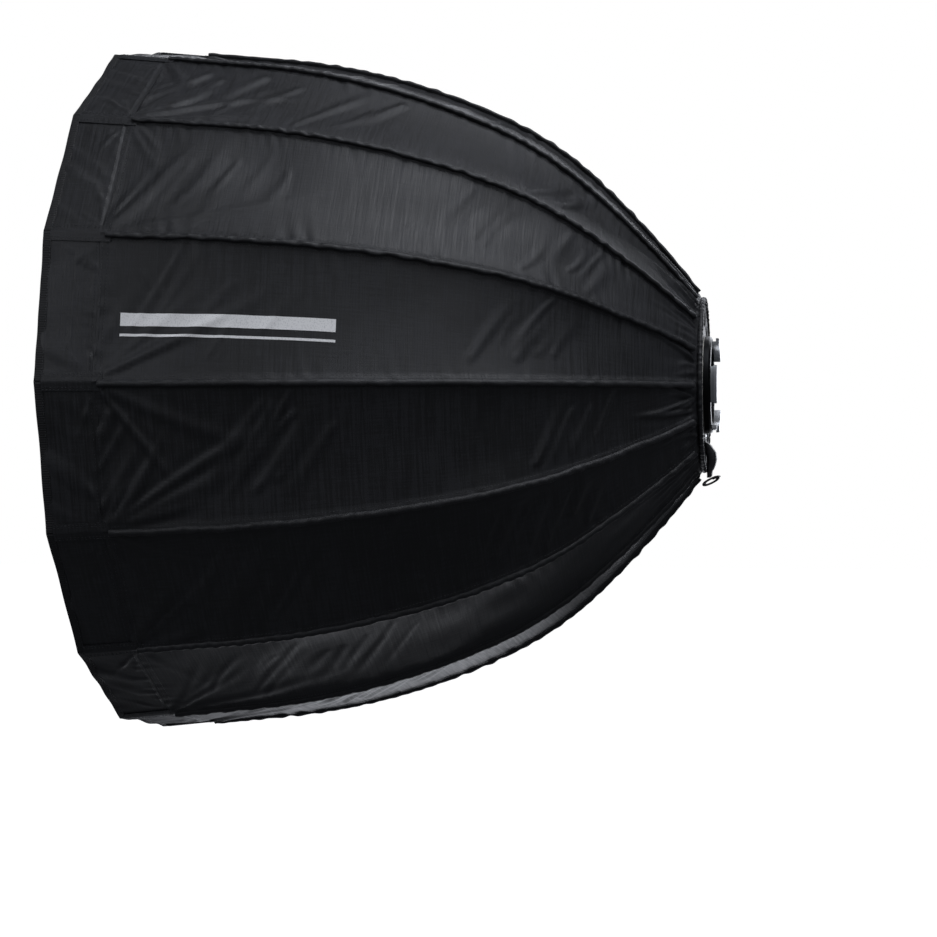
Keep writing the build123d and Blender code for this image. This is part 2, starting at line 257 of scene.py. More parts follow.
def crease_lift(across, run, creases):
    """Height of creases at points of the cloth: each a rounded ridge between two shallow troughs."""
    lift = np.zeros(np.broadcast(across, run).shape)
    for start, end, width, height, bow in creases:
        along = np.array(end) - np.array(start)
        length = float(np.hypot(*along)) + 1e-9
        along = along / length
        x, y = across - start[0], run - start[1]
        q = (x * along[0] + y * along[1]) / length
        off = x * along[1] - y * along[0] - bow * 4 * np.clip(q, 0, 1) * (1 - np.clip(q, 0, 1))
        d = np.abs(off) / (width * (0.55 + 0.9 * np.clip(q, 0, 1)))
        fade = smooth(q, 0.0, 0.12) * (1 - smooth(q, 0.45, 1.0))
        lift += height * fade * (1 - 1.1 * d**2) * np.exp(-1.1 * d**1.7)
    return MOST_CREASE * np.tanh(lift / MOST_CREASE)


def cloth_lift(index, s, u, sag, wrinkle):
    """How far a gore's cloth stands off its flat panel: sag, puckers at the seams, creases."""
    rng = np.random.default_rng(40 + index)
    half_width = seam_radius(s) * math.sin(HALF)
    across = u * half_width
    to_seam = half_width - np.abs(across)
    run = run_at(s)
    length = float(run_at(TIP_DEPTH))
    middle = 1 - u**2
    up = radial(gore_angle(index))[2]
    body = smooth(s, 0.0, 0.2) * (1 - 0.6 * smooth(s, 0.45, TIP_DEPTH))
    lift = -sag * middle * body * (1 + 0.4 * up)

    # long shallow billows
    slow = ripple(rng, 4, *BILLOWS)
    slow_u = ripple(rng, 3, 0.9, 2.1)
    lift += 1.5 * wrinkle * middle * slow(run + 0.35 * across) * (0.6 + 0.5 * slow_u(u))

    # creases from the corners, across the panel and out of the neck
    strength = wrinkle / MM * SLACK[index]
    creases = crease_set(rng, length, SEAM_START * math.tan(HALF), strength)
    lift += crease_lift(across, run, creases) * smooth(to_seam, 0.0, 0.012)

    # puckers square to the seams, short and close
    for side in (-1, 1):
        beat = ripple(rng, 5, *PUCKERS)
        swell = 0.25 + 0.75 * smooth(ripple(rng, 3, 0.07, 0.2)(run), -0.2, 0.7)
        near = np.where(side > 0, half_width - across, half_width + across)
        fade = np.exp(-near / 0.016) * smooth(near, 0.0, 0.003)
        lift += 0.7 * wrinkle * swell * fade * beat(run + 0.25 * near * side)

    # gathers towards the neck, running round it
    beat = ripple(rng, 5, *GATHERS)
    fade = np.exp(-run / 0.03) * smooth(run, 0.0, 0.006)
    lift += 1.3 * wrinkle * fade * np.sqrt(np.maximum(middle, 0)) * beat(
        across / (half_width + 0.02) * 0.04
    )

    # puckers along the lip seam
    beat = ripple(rng, 5, *GATHERS)
    off = np.abs(s - TIP_DEPTH)
    fade = np.exp(-off / 0.012) * smooth(off, 0.0, 0.002)
    lift += 0.6 * wrinkle * fade * beat(across + 0.2 * off) * smooth(to_seam, 0.0, 0.02)

    # the cloth rises onto the felled seam
    rise = 1.2 * MM * (1 - smooth(to_seam, 0.002, 0.007)) * smooth(run, 0.0, 0.02)
    rise += 0.5 * MM * smooth(s, TIP_DEPTH - 0.010, TIP_DEPTH - 0.004)
    return lift * smooth(to_seam, 0.0, 0.004) * smooth(run, 0.0, 0.006) + rise


# ---------------------------------------------------------------- meshes


def make_object(name, points, faces, materials, uv=None):
    """A smooth mesh object at the origin from plain lists."""
    mesh = bpy.data.meshes.new(name)
    mesh.from_pydata([tuple(p) for p in np.asarray(points, float).tolist()], [], faces)
    for material in materials:
        mesh.materials.append(material)
    mesh.polygons.foreach_set("use_smooth", [True] * len(mesh.polygons))
    if uv is not None:
        layer = mesh.uv_layers.new(name="Cloth")
        corners = np.empty(len(mesh.loops), int)
        mesh.loops.foreach_get("vertex_index", corners)
        layer.data.foreach_set("uv", np.asarray(uv, float)[corners].ravel())
    mesh.update()
    obj = bpy.data.objects.new(name, mesh)
    bpy.context.scene.collection.objects.link(obj)
    return obj


def grid_faces(rows, columns, closed=False, flip=False):
    """Quads of a grid of points stored row by row. closed joins the last column to the first."""
    faces = []
    for j in range(rows - 1):
        for i in range(columns if closed else columns - 1):
            n = (i + 1) % columns
            low, high = j * columns, (j + 1) * columns
            quad = (low + i, low + n, high + n, high + i)
            faces.append(quad[::-1] if flip else quad)
    return faces


def sheet_object(name, points, uv, materials, thick, lining=0):
    """A thin closed sheet: a grid of points on its outer face, thickened inwards."""
    rows, columns = points.shape[:2]
    faces = grid_faces(rows, columns)
    obj = make_object(name, points.reshape(-1, 3), faces, materials, uv.reshape(-1, 2))
    thicken(obj, thick, lining)
    return obj


def thicken(obj, thick, lining=0):
    """Give a sheet its thickness inwards, with crisp borders. lining is its inner face's material."""
    shell = obj.modifiers.new("Thickness", "SOLIDIFY")
    shell.thickness = thick
    shell.offset = -1
    shell.use_even_offset = True
    shell.material_offset = lining
    apply_modifiers(obj)
    obj.data.set_sharp_from_angle(angle=math.radians(55))


def apply_modifiers(obj):
    """Turn an object's live modifiers into its plain mesh."""
    graph = bpy.context.evaluated_depsgraph_get()
    graph.update()
    mesh = bpy.data.meshes.new_from_object(obj.evaluated_get(graph), depsgraph=graph)
    old = obj.data
    obj.modifiers.clear()
    obj.data = mesh
    bpy.data.meshes.remove(old)


def tube_object(name, path, side_axes, up_axes, section, material):
    """A closed tube along path: section is (side, up) offsets, given for each path point or once."""
    path = np.asarray(path)
    section = np.asarray(section, float)
    if section.ndim == 2:
        section = np.repeat(section[None], len(path), axis=0)
    rings = path[:, None] + section[..., 0:1] * side_axes[:, None] + section[..., 1:2] * up_axes[:, None]
    rows, columns = rings.shape[:2]
    points = rings.reshape(-1, 3)
    faces = grid_faces(rows, columns, closed=True)
    faces.append(tuple(range(columns))[::-1])
    faces.append(tuple((rows - 1) * columns + i for i in range(columns)))
    run = np.concatenate([[0], np.cumsum(np.linalg.norm(np.diff(path, axis=0), axis=1))])
    wide = np.linspace(0, 0.012, columns)
    uv = np.stack(np.broadcast_arrays(wide[None, :], run[:, None]), axis=-1).reshape(-1, 2)
    obj = make_object(name, points, faces, [material], uv)
    outward(obj)
    return obj


def outward(obj):
    """Point the faces of a closed mesh outwards."""
    work = bmesh.new()
    work.from_mesh(obj.data)
    bmesh.ops.recalc_face_normals(work, faces=work.faces)
    work.to_mesh(obj.data)
    work.free()


def join_objects(name, objects):
    """One object from several, with their materials kept."""
    bpy.ops.object.select_all(action="DESELECT")
    for obj in objects:
        obj.select_set(True)
    bpy.context.view_layer.objects.active = objects[0]
    bpy.ops.object.join()
    objects[0].name = name
    objects[0].data.name = name
    return objects[0]


# ---------------------------------------------------------------- materials


def linear(hex_colour):
    """sRGB hex to linear RGBA."""
    parts = [int(hex_colour[i : i + 2], 16) / 255 for i in (1, 3, 5)]
    return [c / 12.92 if c <= 0.04045 else ((c + 0.055) / 1.055) ** 2.4 for c in parts] + [1.0]


def add_node(material, kind, settings=(), links=()):
    """Add a node: settings are socket or property values, links feed its sockets from other outputs."""
    tree = material.node_tree
    node = tree.nodes.new(kind)
    for name, value in dict(settings).items():
        if isinstance(name, str) and hasattr(node, name):
            setattr(node, name, value)
        else:
            node.inputs[name].default_value = value
    for name, source in dict(links).items():
        tree.links.new(source, node.inputs[name])
    return node


def new_material(name):
    """A material and its empty node tree, or the finished material and None where the name is taken."""
    material = bpy.data.materials.get(name)
    if material:
        return material, None
    material = bpy.data.materials.new(name)
    material.use_nodes = True
    material.node_tree.nodes.clear()
    return material, material.node_tree


def finish_material(material, settings, links):
    shader = add_node(material, "ShaderNodeBsdfPrincipled", settings, links)
    add_node(material, "ShaderNodeOutputMaterial", (), {"Surface": shader.outputs[0]})
    return material


def colour_ramp(material, source, stops):
    """Colours from a factor: stops are (place, hex)."""
    node = add_node(material, "ShaderNodeValToRGB", (), {"Fac": source})
    ramp = node.color_ramp
    while len(ramp.elements) < len(stops):
        ramp.elements.new(0.5)
    for element, (place, hex_colour) in zip(ramp.elements, stops):
        element.position = place
        element.color = linear(hex_colour)
    return node.outputs["Color"]


def object_place(material):
    """The piece's own coordinates, in metres."""
    return add_node(material, "ShaderNodeTexCoord").outputs["Object"]


def cloth_place(material):
    """Coordinates on the flat cloth, in metres: across it and along it."""
    return add_node(material, "ShaderNodeUVMap", {"uv_map": "Cloth"}).outputs[0]


def stretched(material, place, scale):
    """Coordinates scaled by axis, for a pattern that is longer one way."""
    return add_node(material, "ShaderNodeMapping", {"Scale": scale}, {"Vector": place}).outputs[0]


def noise(material, place, scale, detail, roughness=0.5):
    """A cloudy factor with about scale patches to the metre."""
    settings = {"Scale": scale, "Detail": detail, "Roughness": roughness}
    return add_node(material, "ShaderNodeTexNoise", settings, {"Vector": place}).outputs[0]


def relief(material, height, strength, distance):
    """A bump from a factor: distance is its full height in metres."""
    settings = {"Strength": strength, "Distance": distance}
    return add_node(material, "ShaderNodeBump", settings, {"Height": height}).outputs[0]


def spread(material, factor, low, high, start=0.0, end=1.0):
    """Stretch a factor's range from start and end to low and high."""
    settings = {"From Min": start, "From Max": end, "To Min": low, "To Max": high}
    return add_node(material, "ShaderNodeMapRange", settings, {"Value": factor}).outputs[0]


def arithmetic(material, operation, first, second):
    """One step of arithmetic on a factor and another factor or a number."""
    if isinstance(second, float):
        settings, links = {"operation": operation, 1: second}, {0: first}
    else:
        settings, links = {"operation": operation}, {0: first, 1: second}
    return add_node(material, "ShaderNodeMath", settings, links).outputs[0]


def with_share(material, factor, share, base):
    """A share of one factor added to another."""
    settings = {"operation": "MULTIPLY_ADD", 1: share}
    return add_node(material, "ShaderNodeMath", settings, {0: factor, 2: base}).outputs[0]


def nylon():
    """Woven black nylon, calendered: fine weft streaks across the panels and a soft sheen."""
    material, tree = new_material("black_nylon_woven")
    if not tree:
        return material
    # The slubs that show are 2.6 mm apart and some 80 mm long across the cloth, finer and shorter along it
    weft = noise(material, stretched(material, cloth_place(material), (12, 380, 1)), 1.0, 4.0, 0.7)
    warp = noise(material, stretched(material, cloth_place(material), (420, 30, 1)), 1.0, 3.0, 0.6)
    # Handling leaves patches about 110 mm wide
    cloud = noise(material, object_place(material), 9.0, 5.0, 0.6)
    weave = with_share(material, warp, 0.4, weft)
    tone = with_share(material, cloud, 0.5, weave)
    base = colour_ramp(material, tone, [(0.66, "#070708"), (0.95, "#111214"), (1.0, "#1c1d20")])
    rough = spread(material, weft, 0.47, 0.65, 0.35, 0.65)
    bump = relief(material, weave, 0.5, 0.6 * MM)
    return finish_material(
        material,
        {"IOR": 1.5, "Specular IOR Level": 0.5, "Sheen Weight": 0.05, "Sheen Roughness": 0.4},
        {"Base Color": base, "Roughness": rough, "Normal": bump},
    )


def silver_lining():
    """Silver-coated lining: a crinkled metal film on cloth, bright but not a mirror."""
    material, tree = new_material("silver_coated_lining")
    if not tree:
        return material
    place = object_place(material)
    # The coating's pebble is about 1.2 mm
    pebble = add_node(material, "ShaderNodeTexVoronoi", {"Scale": 800.0}, {"Vector": place}).outputs[0]
    base = colour_ramp(material, noise(material, place, 30.0, 3.0), [(0.3, "#b4b7ba"), (0.7, "#d6d8da")])
    bump = relief(material, pebble, 0.3, 0.3 * MM)
    settings = {"Metallic": 0.85, "Roughness": 0.42}
    return finish_material(material, settings, {"Base Color": base, "Normal": bump})


def tape():
    """Woven black webbing with a rib every 1.4 mm across its length, painted shade darkening its troughs and
    a painted highlight on its crowns.
    """
    material, tree = new_material("polypropylene_webbing")
    if not tree:
        return material
    settings = {
        "wave_type": "BANDS",
        "bands_direction": "Y",
        "Scale": 1 / (1.4 * MM) / (2 * math.pi),
        "Distortion": 0.6,
        "Detail": 2.0,
    }
    rib_height_and_shade = add_node(
        material, "ShaderNodeTexWave", settings, {"Vector": cloth_place(material)}
    ).outputs["Fac"]
    # Painted shade and highlight: the colour follows the rib height, darker in the troughs and lighter on
    # the crowns.
    base = colour_ramp(material, rib_height_and_shade, [(0.1, "#0c0c0d"), (0.9, "#151618")])
    bump = relief(material, rib_height_and_shade, 0.6, 0.4 * MM)
    return finish_material(material, {"Roughness": 0.72}, {"Base Color": base, "Normal": bump})


def thread():
    """Bonded polyester thread, black and a little waxy, with a 1.1 mm twist."""
    material, tree = new_material("polyester_thread")
    if not tree:
        return material
    twist = noise(material, object_place(material), 900.0, 1.0)
    base = colour_ramp(material, twist, [(0.3, "#1b1c1e"), (0.7, "#35373a")])
    return finish_material(material, {"Roughness": 0.45, "Specular IOR Level": 0.6}, {"Base Color": base})


def diffusion_cloth():
    """White ripstop diffusion cloth: matt, faintly translucent, with a fine square weave."""
    material, tree = new_material("white_diffusion_cloth")
    if not tree:
        return material
    place = object_place(material)
    settings = {"bands_direction": "DIAGONAL", "Scale": 0.05, "wave_profile": "SIN"}
    # Ripstop squares are 5 mm
    checks = []
    for scale in ((1250, 0, 0), (0, 0, 1250)):
        lines = {"Vector": stretched(material, place, scale)}
        checks.append(add_node(material, "ShaderNodeTexWave", settings, lines).outputs["Fac"])
    base = colour_ramp(material, noise(material, place, 5.0, 3.0), [(0.3, "#e9e9e6"), (0.7, "#f3f3f1")])
    bump = relief(material, arithmetic(material, "MAXIMUM", *checks), 0.15, 0.2 * MM)
    return finish_material(
        material,
        {
            "Roughness": 0.85,
            "Sheen Weight": 0.2,
            "Subsurface Weight": 0.1,
            "Subsurface Radius": (1, 1, 1),
            "Subsurface Scale": 4 * MM,
        },
        {"Base Color": base, "Normal": bump},
    )


def metal(name, dark, light, metallic, rough, grain):
    """A turned, cast or moulded part: grain is the size of its surface pattern in millimetres."""
    material, tree = new_material(name)
    if not tree:
        return material
    place = object_place(material)
    # Tone and polish wander over patches 22 mm wide
    broad = noise(material, place, 45.0, 3.0)
    base = colour_ramp(material, broad, [(0.3, dark), (0.7, light)])
    roughness = spread(material, broad, rough - 0.08, rough + 0.1)
    bump = relief(material, noise(material, place, 1000 / grain, 4.0, 0.7), 0.2, 0.1 * MM)
    links = {"Base Color": base, "Roughness": roughness, "Normal": bump}
    return finish_material(material, {"Metallic": metallic}, links)


def plated():
    """Zinc-plated steel of screws, pins, rivets and snaps."""
    return metal("zinc_plated_steel", "#8d8f91", "#b2b4b5", 1.0, 0.34, 0.25)


def two_finishes(material, bright, grain, black, metal_tones, roughness, settings, links):
    """A part that is black where bright is 0 and bare metal where it is 1. grain is a fine factor."""
    bare = colour_ramp(material, grain, [(0.3, metal_tones[0]), (0.7, metal_tones[1])])
    mixed = {"data_type": "RGBA", 6: linear(black)}
    base = add_node(material, "ShaderNodeMix", mixed, {0: bright, 7: bare}).outputs[2]
    rough = spread(material, bright, *roughness)
    bump = relief(material, grain, 0.15, 0.1 * MM)
    shared = {"Base Color": base, "Roughness": rough, "Normal": bump}
    return finish_material(material, settings, {**shared, **links})


def rod_finish():
    """Drawn spring steel between a black cast foot and a black moulded tip cap."""
    material, tree = new_material("spring_steel_with_cast_foot_and_moulded_cap")
    if not tree:
        return material
    place = object_place(material)
    along = add_node(material, "ShaderNodeSeparateXYZ", (), {"Vector": place}).outputs["Y"]
    # The foot ends 30 mm in front of the neck edge, and the cap starts 19 mm behind the lip seam
    past_foot = arithmetic(material, "LESS_THAN", along, NECK_Y - 30.5 * MM)
    before_cap = arithmetic(material, "GREATER_THAN", along, NECK_Y - TIP_DEPTH + 19 * MM)
    shaft = arithmetic(material, "MULTIPLY", past_foot, before_cap)
    # Die lines run along the rod, a millimetre apart
    drawn = noise(material, stretched(material, place, (900, 20, 900)), 1.0, 3.0)
    return two_finishes(
        material, shaft, drawn, "#151516", ("#6c6e70", "#8f9193"), (0.5, 0.32), (), {"Metallic": shaft}
    )


def insert_finish():
    """The insert: black anodised flange and barrel, its bayonet lugs left as bright machined aluminium."""
    material, tree = new_material("anodised_aluminium_with_machined_lugs")
    if not tree:
        return material
    place = object_place(material)
    axes = add_node(material, "ShaderNodeSeparateXYZ", (), {"Vector": place})
    flat = add_node(material, "ShaderNodeCombineXYZ", (), {"X": axes.outputs["X"], "Z": axes.outputs["Z"]})
    reach = add_node(material, "ShaderNodeVectorMath", {"operation": "LENGTH"}, {0: flat.outputs[0]})
    # The lugs stand behind the flange's back face, outside the throat
    behind = arithmetic(material, "GREATER_THAN", axes.outputs["Y"], 0.2 * MM)
    outside = arithmetic(material, "GREATER_THAN", reach.outputs["Value"], 51 * MM)
    lug = arithmetic(material, "MULTIPLY", behind, outside)
    turned = noise(material, place, 1500.0, 3.0)
    return two_finishes(
        material, lug, turned, "#18191a", ("#a9abad", "#c9cbcc"), (0.4, 0.3), {"Metallic": 0.85}, {}
    )


def white_print():
    """Screen-printed white ink: matt, slightly thin where the weave shows through, every 1.4 mm."""
    material, tree = new_material("screen_print_white")
    if not tree:
        return material
    thin = noise(material, object_place(material), 700.0, 2.0)
    base = colour_ramp(material, thin, [(0.25, "#cfd0d0"), (0.5, "#f2f2f1")])
    return finish_material(material, {"Roughness": 0.6}, {"Base Color": base})


def backdrop_paper():
    """Seamless background paper: pale, matt, a little mottled over half a metre."""
    material, tree = new_material("background_paper")
    if not tree:
        return material
    cloud = noise(material, object_place(material), 2.0, 2.0)
    base = colour_ramp(material, cloud, [(0.3, "#fbfbfb"), (0.7, "#ffffff")])
    links = {"Base Color": base, "Emission Color": base}
    return finish_material(material, {"Roughness": 0.9, "Emission Strength": 1.0}, links)


# ---------------------------------------------------------------- settings


class SOFTBOX_PG_cloth(bpy.types.PropertyGroup):
    thickness: bpy.props.FloatProperty(
        name="Cloth Thickness",
        description="Thickness of the coated nylon",
        default=0.8 * MM,
        min=0,
        unit="LENGTH",
    )
    sag: bpy.props.FloatProperty(
        name="Panel Sag",
        description="How far a panel pulls in between two rods",
        default=5 * MM,
        unit="LENGTH",
    )
    wrinkle: bpy.props.FloatProperty(
        name="Wrinkle Height",
        description="Typical height of folds and puckers",
        default=1.5 * MM,
        unit="LENGTH",
    )
    rows: bpy.props.IntProperty(name="Rows", description="Points along a panel", default=290, min=20)
    columns: bpy.props.IntProperty(name="Columns", description="Points across a panel", default=45, min=9)
    gather: bpy.props.FloatProperty(
        name="Gathered Share",
        description="Share of a panel's width left when the rods close",
        default=0.4,
        subtype="FACTOR",
    )


class SOFTBOX_PG_seams(bpy.types.PropertyGroup):
    seam_width: bpy.props.FloatProperty(
        name="Seam Width",
        description="Width of the felled seam over each rod",
        default=6.2 * MM,
        unit="LENGTH",
    )
    seam_height: bpy.props.FloatProperty(
        name="Seam Height", description="Height of the felled seam", default=4.8 * MM, unit="LENGTH"
    )
    pocket_width: bpy.props.FloatProperty(
        name="Tip Pocket Width",
        description="Width of the doubled cloth over a rod's tip",
        default=21 * MM,
        unit="LENGTH",
    )
    sleeve_width: bpy.props.FloatProperty(
        name="Rod Sleeve Width",
        description="Width of the tape inside each seam",
        default=32 * MM,
        unit="LENGTH",
    )
    binding_width: bpy.props.FloatProperty(
        name="Rim Binding Width",
        description="Width of the tape folded over the rim",
        default=10 * MM,
        unit="LENGTH",
    )
    stitch_pitch: bpy.props.FloatProperty(
        name="Stitch Pitch", description="Distance from stitch to stitch", default=4.2 * MM, unit="LENGTH"
    )
    stitch_length: bpy.props.FloatProperty(
        name="Stitch Length", description="Visible length of one stitch", default=3.1 * MM, unit="LENGTH"
    )
    thread: bpy.props.FloatProperty(
        name="Thread Thickness", description="Diameter of the thread", default=0.55 * MM, unit="LENGTH"
    )


class SOFTBOX_PG_stage(bpy.types.PropertyGroup):
    azimuth: bpy.props.FloatProperty(
        name="Camera Azimuth",
        description="Round from the +X side towards +Y",
        default=0.1682,
        subtype="ANGLE",
    )
    elevation: bpy.props.FloatProperty(
        name="Camera Elevation", description="Above the horizon", default=0.0161, subtype="ANGLE"
    )
    roll: bpy.props.FloatProperty(
        name="Camera Roll", description="Tilt of the camera", default=0.0052, subtype="ANGLE"
    )
    distance: bpy.props.FloatProperty(
        name="Camera Distance", description="From the middle of the axis", default=2.647, unit="LENGTH"
    )
    lens: bpy.props.FloatProperty(
        name="Lens", description="Focal length in mm, on a 36 mm sensor", default=78.45
    )
    floor: bpy.props.FloatProperty(
        name="Floor Height", description="Height of the floor", default=-2.2, unit="LENGTH"
    )
    overhead: bpy.props.FloatProperty(name="Overhead Bank", description="Power in watts", default=32)
    front: bpy.props.FloatProperty(name="Front Bank", description="Power in watts", default=5)
    side: bpy.props.FloatProperty(name="Mouth Side Bank", description="Power in watts", default=9)
    rear: bpy.props.FloatProperty(name="Rear Bank", description="Power in watts", default=85)
    mouth: bpy.props.FloatProperty(name="Mouth Bank", description="Power in watts", default=40)
    low: bpy.props.FloatProperty(name="Low Bounce", description="Power in watts", default=6)
    surround: bpy.props.FloatProperty(
        name="Surround", description="Brightness of the room as a light", default=0.09
    )


# ---------------------------------------------------------------- pieces


def number(index):
    return f"{index + 1:02d}"


def follow_gore(obj, index):
    """Let a piece move with its gore."""
    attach(obj, f"gore_{number(index)}")
    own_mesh(obj)


def cloth_uv(index, runs, widths, u):
    """Coordinates on the flat cloth, each panel's weave starting somewhere else."""
    return np.stack(
        [u * widths[:, None] / 2 + 0.3 * index, np.broadcast_to(runs[:, None], u.shape)], axis=-1
    )


def rounded(width, height, sides, squareness):
    """A closed section between an oval and a box: squareness is two powers, smaller for squarer ends."""
    section = []
    for turn in np.linspace(0, 2 * math.pi, sides + 1)[:-1]:
        x, y = math.cos(turn), math.sin(turn)
        across = width / 2 * np.sign(x) * abs(x) ** squareness[0]
        section.append((across, height / 2 * np.sign(y) * abs(y) ** squareness[1]))
    return section


class SOFTBOX_OT_gores(bpy.types.Operator):
    """Sixteen cloth panels, each from the neck edge to the lip seam"""

    bl_idname = "softbox.gores"
    bl_label = "Gores"

    def execute(self, context):
        cloth = context.scene.softbox_cloth
        length = float(run_at(TIP_DEPTH))
        runs = np.linspace(0, length, cloth.rows)
        widths = 2 * seam_radius(depth_at(runs)) * math.sin(HALF)
        for index in range(SIDES):
            s, u = np.meshgrid(depth_at(runs), np.linspace(-1, 1, cloth.columns), indexing="ij")
            points = on_gore(index, s, u, cloth_lift(index, s, u, cloth.sag, cloth.wrinkle))
            uv = cloth_uv(index, runs, widths, u)
            finishes = [nylon(), silver_lining()]
            obj = sheet_object(
                f"gore_cloth_{number(index)}", points, uv, finishes, cloth.thickness, lining=1
            )
            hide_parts(f"gore_{number(index)}")
            follow_gore(obj, index)
        return {"FINISHED"}


def lip_lift(index, s, u, wrinkle):
    """How far the lip's cloth stands off: creases from its corners, puckers at its edges and a slack rim."""
    rng = np.random.default_rng(140 + index)
    half_width = seam_radius(s) * math.sin(HALF)
    across = u * half_width
    to_seam = half_width - np.abs(across)
    behind = s - TIP_DEPTH
    ahead = RIM_DEPTH - s
    slow = ripple(rng, 4, 0.03, 0.09)
    lean = rng.uniform(-0.9, 0.9)
    lift = 0.8 * wrinkle * slow(across + lean * behind) * smooth(behind, 0.0, 0.02)
    creases = []
    wide = float(seam_radius(TIP_DEPTH)) * math.sin(HALF)
    for side in (-1, 1):
        for count in range(3):
            turn = math.radians(rng.uniform(12, 60))
            reach = rng.uniform(0.03, 0.08)
            start = (side * (wide - 0.013), 0.001)
            end = (start[0] - side * reach * math.cos(turn), reach * math.sin(turn))
            creases.append(crease(rng, start, end, (3, 6), (0.5, 1.2), 4))
    lift += crease_lift(across, behind, creases)
    beat = ripple(rng, 5, *GATHERS)
    lift += 0.6 * wrinkle * np.exp(-behind / 0.012) * smooth(behind, 0.0, 0.002) * beat(
        across - 0.2 * behind
    )
    cloth_gap = 1.1 * MM
    lift = np.maximum(lift, -0.2 * MM) * smooth(to_seam, 0.008, 0.03) * smooth(behind, 0.0, 0.003)
    slack = rim_wave(index, u) * smooth(behind, 0.02, RIM_DEPTH - TIP_DEPTH)
    return np.where(behind < 0.5 * MM, -cloth_gap, lift * smooth(ahead, 0.0, 0.008) + slack)


def rim_wave(index, u):
    """The rim's own line between two corners: it pulls in, with a few uneven waves."""
    wave = ripple(np.random.default_rng(240 + index), 3, 0.5, 1.4)
    return (1 - u**4) * (-1.6 * MM + 1.3 * MM * wave(u))


class SOFTBOX_OT_lips(bpy.types.Operator):
    """Sixteen lip panels in front of the lip seam, and the binding folded over the rim"""

    bl_idname = "softbox.lips"
    bl_label = "Lips and Rim Binding"

    def execute(self, context):
        cloth = context.scene.softbox_cloth
        seams = context.scene.softbox_seams
        runs = np.linspace(float(run_at(TIP_DEPTH)) - 4 * MM, float(run_at(RIM_DEPTH)), 35)
        widths = 2 * seam_radius(depth_at(runs)) * math.sin(HALF)
        for index in range(SIDES):
            s, u = np.meshgrid(depth_at(runs), np.linspace(-1, 1, cloth.columns + 16), indexing="ij")
            points = on_gore(index, s, u, lip_lift(index, s, u, cloth.wrinkle))
            uv = cloth_uv(index, runs, widths, u)
            obj = sheet_object(f"lip_cloth_{number(index)}", points, uv, [nylon()], cloth.thickness)
            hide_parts(f"gore_{number(index)}")
            follow_gore(obj, index)
            self.binding(context, index, seams.binding_width)
        return {"FINISHED"}

    def binding(self, context, index, width):
        """Tape folded over the rim from corner to corner, a little wavy."""
        u = np.linspace(-1, 1, 60)
        s = np.full_like(u, RIM_DEPTH - width / 2 + 0.4 * MM)
        path = on_gore(index, s, u, rim_wave(index, u) - 0.4 * MM)
        angle, a = gore_angle(index), float(seam_heading(RIM_DEPTH))
        along = math.sin(a) * radial(angle) - math.cos(a) * AXIS
        out = math.cos(a) * radial(angle) + math.sin(a) * AXIS
        section = rounded(width, 2.7 * MM, 16, (0.35, 0.6))
        obj = tube_object(
            f"rim_binding_{number(index)}",
            path,
            np.repeat(along[None], len(u), axis=0),
            np.repeat(out[None], len(u), axis=0),
            section,
            tape(),
        )
        follow_gore(obj, index)


def seam_axes(index, s):
    """Side and outward directions at points along a seam."""
    a = seam_heading(s)[:, None]
    side = np.repeat(tangential(seam_angle(index))[None], len(s), axis=0)
    out = np.cos(a) * radial(seam_angle(index)) + np.sin(a) * AXIS
    return side, out


def seam_strip(name, index, ends, width, lift, fall, thick, materials, rows, columns=11):
    """A strip folded over a seam: width across, standing lift above it and falling away to each side."""
    runs = np.linspace(float(run_at(ends[0])), float(run_at(ends[1])), rows)
    side = np.linspace(-width / 2, width / 2, columns)
    s, across = np.meshgrid(depth_at(runs), side, indexing="ij")
    drop = np.abs(across) * (math.tan(HALF) + fall)
    points = on_seam(index, s, across, lift - drop)
    uv = np.stack([across, np.broadcast_to(runs[:, None], across.shape)], axis=-1)
    return sheet_object(name, points, uv, materials, thick)


class SOFTBOX_OT_seams(bpy.types.Operator):
    """Felled seams over the rods, the rod sleeves inside them and the tip pockets at the lip"""

    bl_idname = "softbox.seams"
    bl_label = "Seams, Sleeves and Tip Pockets"

    def execute(self, context):
        seams = context.scene.softbox_seams
        for index in range(SIDES):
            body = f"rod_{number(index)}"
            felled = self.felled_seam(index, seams.seam_width, seams.seam_height)
            sleeve = seam_strip(
                f"rod_sleeve_{number(index)}",
                index,
                (0.028, TIP_DEPTH - 0.004),
                seams.sleeve_width,
                -1.9 * MM,
                0.16,
                0.5 * MM,
                [nylon()],
                120,
            )
            pocket = seam_strip(
                f"tip_pocket_{number(index)}",
                index,
                (TIP_DEPTH - 0.012, RIM_DEPTH - 0.8 * seams.binding_width),
                seams.pocket_width,
                1.3 * MM,
                0.0,
                0.8 * MM,
                [nylon()],
                40,
            )
            for obj in (felled, sleeve, pocket):
                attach(obj, body)
        return {"FINISHED"}

    def felled_seam(self, index, width, height):
        """The felled seam: its allowance folded to one side and sewn down, puckered by its stitches."""
        rng = np.random.default_rng(340 + index)
        runs = np.linspace(0.009, float(run_at(TIP_DEPTH)) - 0.006, 400)
        s = depth_at(runs)
        swell = 1 + 0.16 * ripple(rng, 5, 0.010, 0.035)(runs)
        spread = 1 + 0.12 * ripple(rng, 5, 0.012, 0.05)(runs)
        wander = 0.5 * MM * ripple(rng, 3, 0.06, 0.2)(runs)
        side, out = seam_axes(index, s)
        path = on_seam(index, s, wander, np.zeros_like(s))
        fold = np.array(
            [(0.40, -0.30), (0.22, 0.42), (0.0, 0.80), (-0.30, 0.96), (-0.62, 1.0), (-0.84, 0.86)]
            + [(-0.99, 0.60), (-0.94, 0.34), (-0.74, 0.10), (-0.68, -0.5), (0.0, -0.7)]
        )
        section = fold[None] * np.array([width, height])
        section = section * np.stack([spread, swell], axis=-1)[:, None, :]
        return tube_object(f"seam_{number(index)}", path, side, out, section, nylon())


